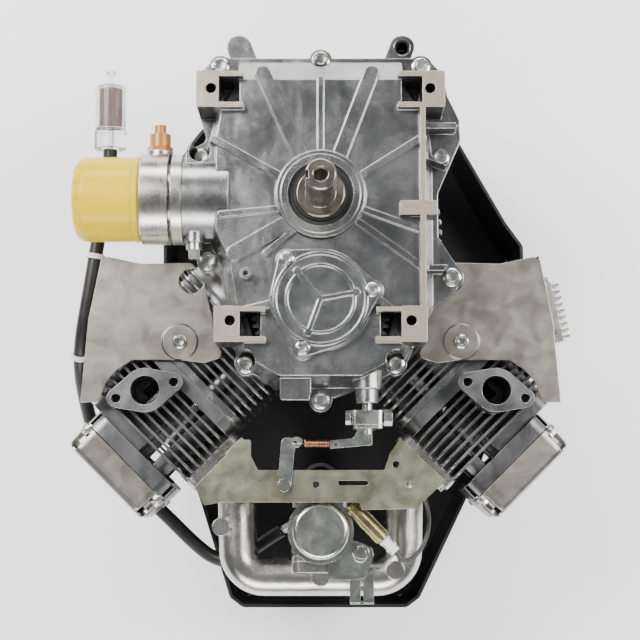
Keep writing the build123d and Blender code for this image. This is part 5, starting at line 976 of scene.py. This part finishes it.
def roundedRectangle(width, depth, corner, steps=5):
    outline = []
    for quarter, (sx, sy) in enumerate(((1, 1), (-1, 1), (-1, -1), (1, -1))):
        for step in range(steps + 1):
            angle = (quarter + step / steps) * math.pi / 2
            outline.append((sx * (width / 2 - corner) + corner * math.cos(angle),
                            sy * (depth / 2 - corner) + corner * math.sin(angle)))
    return outline


def buildLeadConnector():
    # white plug body with two ribs, between the solenoid and its wire
    way = Vector((-23.3, -24.0, 0.0)).normalized()
    low = Vector((-0.028, -0.261, 0.085)) + way * leadConnector["start"]
    width, depth, length = leadConnector["width"], leadConnector["depth"], leadConnector["length"]
    core = roundedRectangle(width * 0.86, depth * 0.86, 0.0018)
    parts = [extrudedOutline("connectorBody", core, length, 0.0004)]
    for reach in (0.0006, 0.0085):
        rib = extrudedOutline("connectorRib", roundedRectangle(width, depth, 0.002), 0.0022, 0.0004)
        rib.transform(Matrix.Translation((0, 0, reach)))
        parts.append(rib)
    mesh = joinMeshes("leadConnector", parts)
    mesh.transform(Matrix.Translation(low) @ turnTo(way))
    finishPiece("leadConnector", mesh, "engine_block", "whiteNylon", ["solenoid_lead"], 35)


buildLeadConnector()

linkagePlate = {"level": 0.1085, "sheet": 0.0014, "foldHeight": 0.009, "emboss": (-0.0351, -0.3011, 0.0072), "outline": (
    (-0.0250, -0.2884), (-0.0364, -0.2919), (-0.0451, -0.2962), (-0.0469, -0.3032), (-0.0398, -0.3224),
    (-0.0275, -0.3241), (-0.0065, -0.3241), (-0.0065, -0.3062), (-0.0125, -0.3038), (-0.0180, -0.2998),
    (-0.0225, -0.2940)),
    "clip": ((-0.0257, -0.3236), (-0.0467, -0.3440))}


def buildLinkagePlate():
    # zinc plate under the manifold with a round emboss and a clip folded from its edge
    level, sheet = linkagePlate["level"], linkagePlate["sheet"]
    plate = extrudedOutline("plateBody", linkagePlate["outline"][::-1], sheet, 0.0003)
    plate.transform(Matrix.Translation((0, 0, level)))
    x, y, radius = linkagePlate["emboss"]
    emboss = ringMesh("plateEmboss", [
        (0, -0.0006), (radius - 0.0026, -0.0006), (radius - 0.002, -0.0001), (radius - 0.0012, -0.0001),
        (radius - 0.0006, -0.0009), (radius, -0.0009), (radius + 0.0006, 0.0),
        (radius + 0.0006, 0.0006), (0, 0.0006)], 64)
    emboss.transform(Matrix.Translation((x, y, level)))
    (right, top), (left, bottom) = linkagePlate["clip"]
    middle = (right + left) / 2
    parts = [plate, emboss]
    for low, high in ((right, middle + 0.0012), (middle - 0.0012, left)):
        corners = [(high, bottom), (low, bottom), (low, top), (high, top)]
        tab = extrudedOutline("clipTab", corners, sheet, 0.0005)
        tab.transform(Matrix.Translation((0, 0, level - 0.0004)))
        parts.append(tab)
    near, far = bottom - 0.0012, bottom + 0.0012
    corners = [(left, near), (right, near), (right, far), (left, far)]
    fold = extrudedOutline("clipFold", corners, linkagePlate["foldHeight"], 0.0005)
    fold.transform(Matrix.Translation((0, 0, level)))
    parts.append(fold)
    finishPiece("linkagePlate", joinMeshes("linkagePlate", parts), "engine_block", "zincPlate", (), 35)


buildLinkagePlate()
print("cords, connector and linkage plate made")


# floor, light and camera

studio = {
    "floorSize": 6.0, "floorGap": 0.002, "floorColour": (0.93, 0.93, 0.925),
    "worldColour": (0.62, 0.64, 0.66),
    "worldStrength": 0.30, "floorGlow": 0.42,
    "lights": (
        ("keySoftbox", (1.15, 0.75, -1.35), (0.8, 1.5), 62.0),
        ("fillSoftbox", (-1.45, 0.2, -1.1), (0.7, 1.7), 44.0),
        ("frontSoftbox", (0.1, -1.7, -0.8), (1.9, 0.6), 40.0),
        ("rearSoftbox", (0.0, 1.75, -0.75), (1.9, 0.6), 40.0),
        ("topSoftbox", (0.5, -0.7, 1.9), (1.6, 1.6), 55.0),
        ("backSoftbox", (-0.6, 1.6, 0.9), (1.4, 1.0), 26.0),
    ),
}


def buildStudio():
    low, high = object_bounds()
    half = studio["floorSize"] / 2
    level = high[2] + studio["floorGap"]
    floorMesh = bpy.data.meshes.new("paleFloor")
    floorMesh.from_pydata([
        (-half, -half, level), (-half, half, level), (half, half, level), (half, -half, level)],
        [], [(0, 1, 2, 3)])
    floor = bpy.data.objects.new("paleFloor", floorMesh)
    bpy.context.scene.collection.objects.link(floor)
    material, tree, shader = newMaterial("paleFloorPaint")
    speck = noise(tree, objectPoint(tree), 40.0, 3.0)
    pale = studio["floorColour"]
    colour = mixColour(tree, ramp(tree, speck, 0.3, 0.7, 0.0, 0.4), pale, tuple(c * 0.985 for c in pale))
    tree.links.new(colour, shader.inputs["Base Color"])
    shader.inputs["Roughness"].default_value = 0.8
    shader.inputs["Emission Color"].default_value = (1.0, 1.0, 1.0, 1.0)
    shader.inputs["Emission Strength"].default_value = studio["floorGlow"]
    # the engine stands on its top, so the floor is open when seen from above
    clear = tree.nodes.new("ShaderNodeBsdfTransparent")
    side = put(tree, "ShaderNodeNewGeometry")
    choose = put(tree, "ShaderNodeMixShader", {
        0: side.outputs["Backfacing"], 1: shader.outputs[0], 2: clear.outputs[0]})
    out = next(node for node in tree.nodes if node.type == "OUTPUT_MATERIAL")
    tree.links.new(choose.outputs[0], out.inputs["Surface"])
    floorMesh.materials.append(material)
    world = bpy.data.worlds.new("softStudio")
    world.use_nodes = True
    world.node_tree.nodes["Background"].inputs[0].default_value = (*studio["worldColour"], 1.0)
    world.node_tree.nodes["Background"].inputs[1].default_value = studio["worldStrength"]
    bpy.context.scene.world = world
    aim = Vector((0.0, -0.1, 0.1))
    for name, place, size, power in studio["lights"]:
        data = bpy.data.lights.new(name, "AREA")
        data.shape = "RECTANGLE"
        data.size, data.size_y = size
        data.energy = power
        lamp = bpy.data.objects.new(name, data)
        lamp.location = place
        lamp.rotation_euler = (aim - Vector(place)).to_track_quat("-Z", "Y").to_euler()
        bpy.context.scene.collection.objects.link(lamp)


cameraPlace = {"stand": (0.0005, -0.26053, -1.39155), "tilt": 6.3, "lens": 95.3, "sensor": 36.0,
               "farthest": 20.0}


def buildCamera():
    # below the engine, looking up along the shaft and a little towards the back
    tilt = math.radians(cameraPlace["tilt"])
    look = Vector((0, math.sin(tilt), math.cos(tilt)))
    up = Vector((0, math.cos(tilt), -math.sin(tilt)))
    right = look.cross(up)
    data = bpy.data.cameras.new("studioCamera")
    data.lens = cameraPlace["lens"]
    data.sensor_width = cameraPlace["sensor"]
    data.clip_end = cameraPlace["farthest"]
    camera = bpy.data.objects.new("studioCamera", data)
    turn = Matrix((right, up, -look)).transposed().to_4x4()
    camera.matrix_world = Matrix.Translation(cameraPlace["stand"]) @ turn
    bpy.context.scene.collection.objects.link(camera)
    bpy.context.scene.camera = camera


buildStudio()
buildCamera()
print("studio and camera ready")
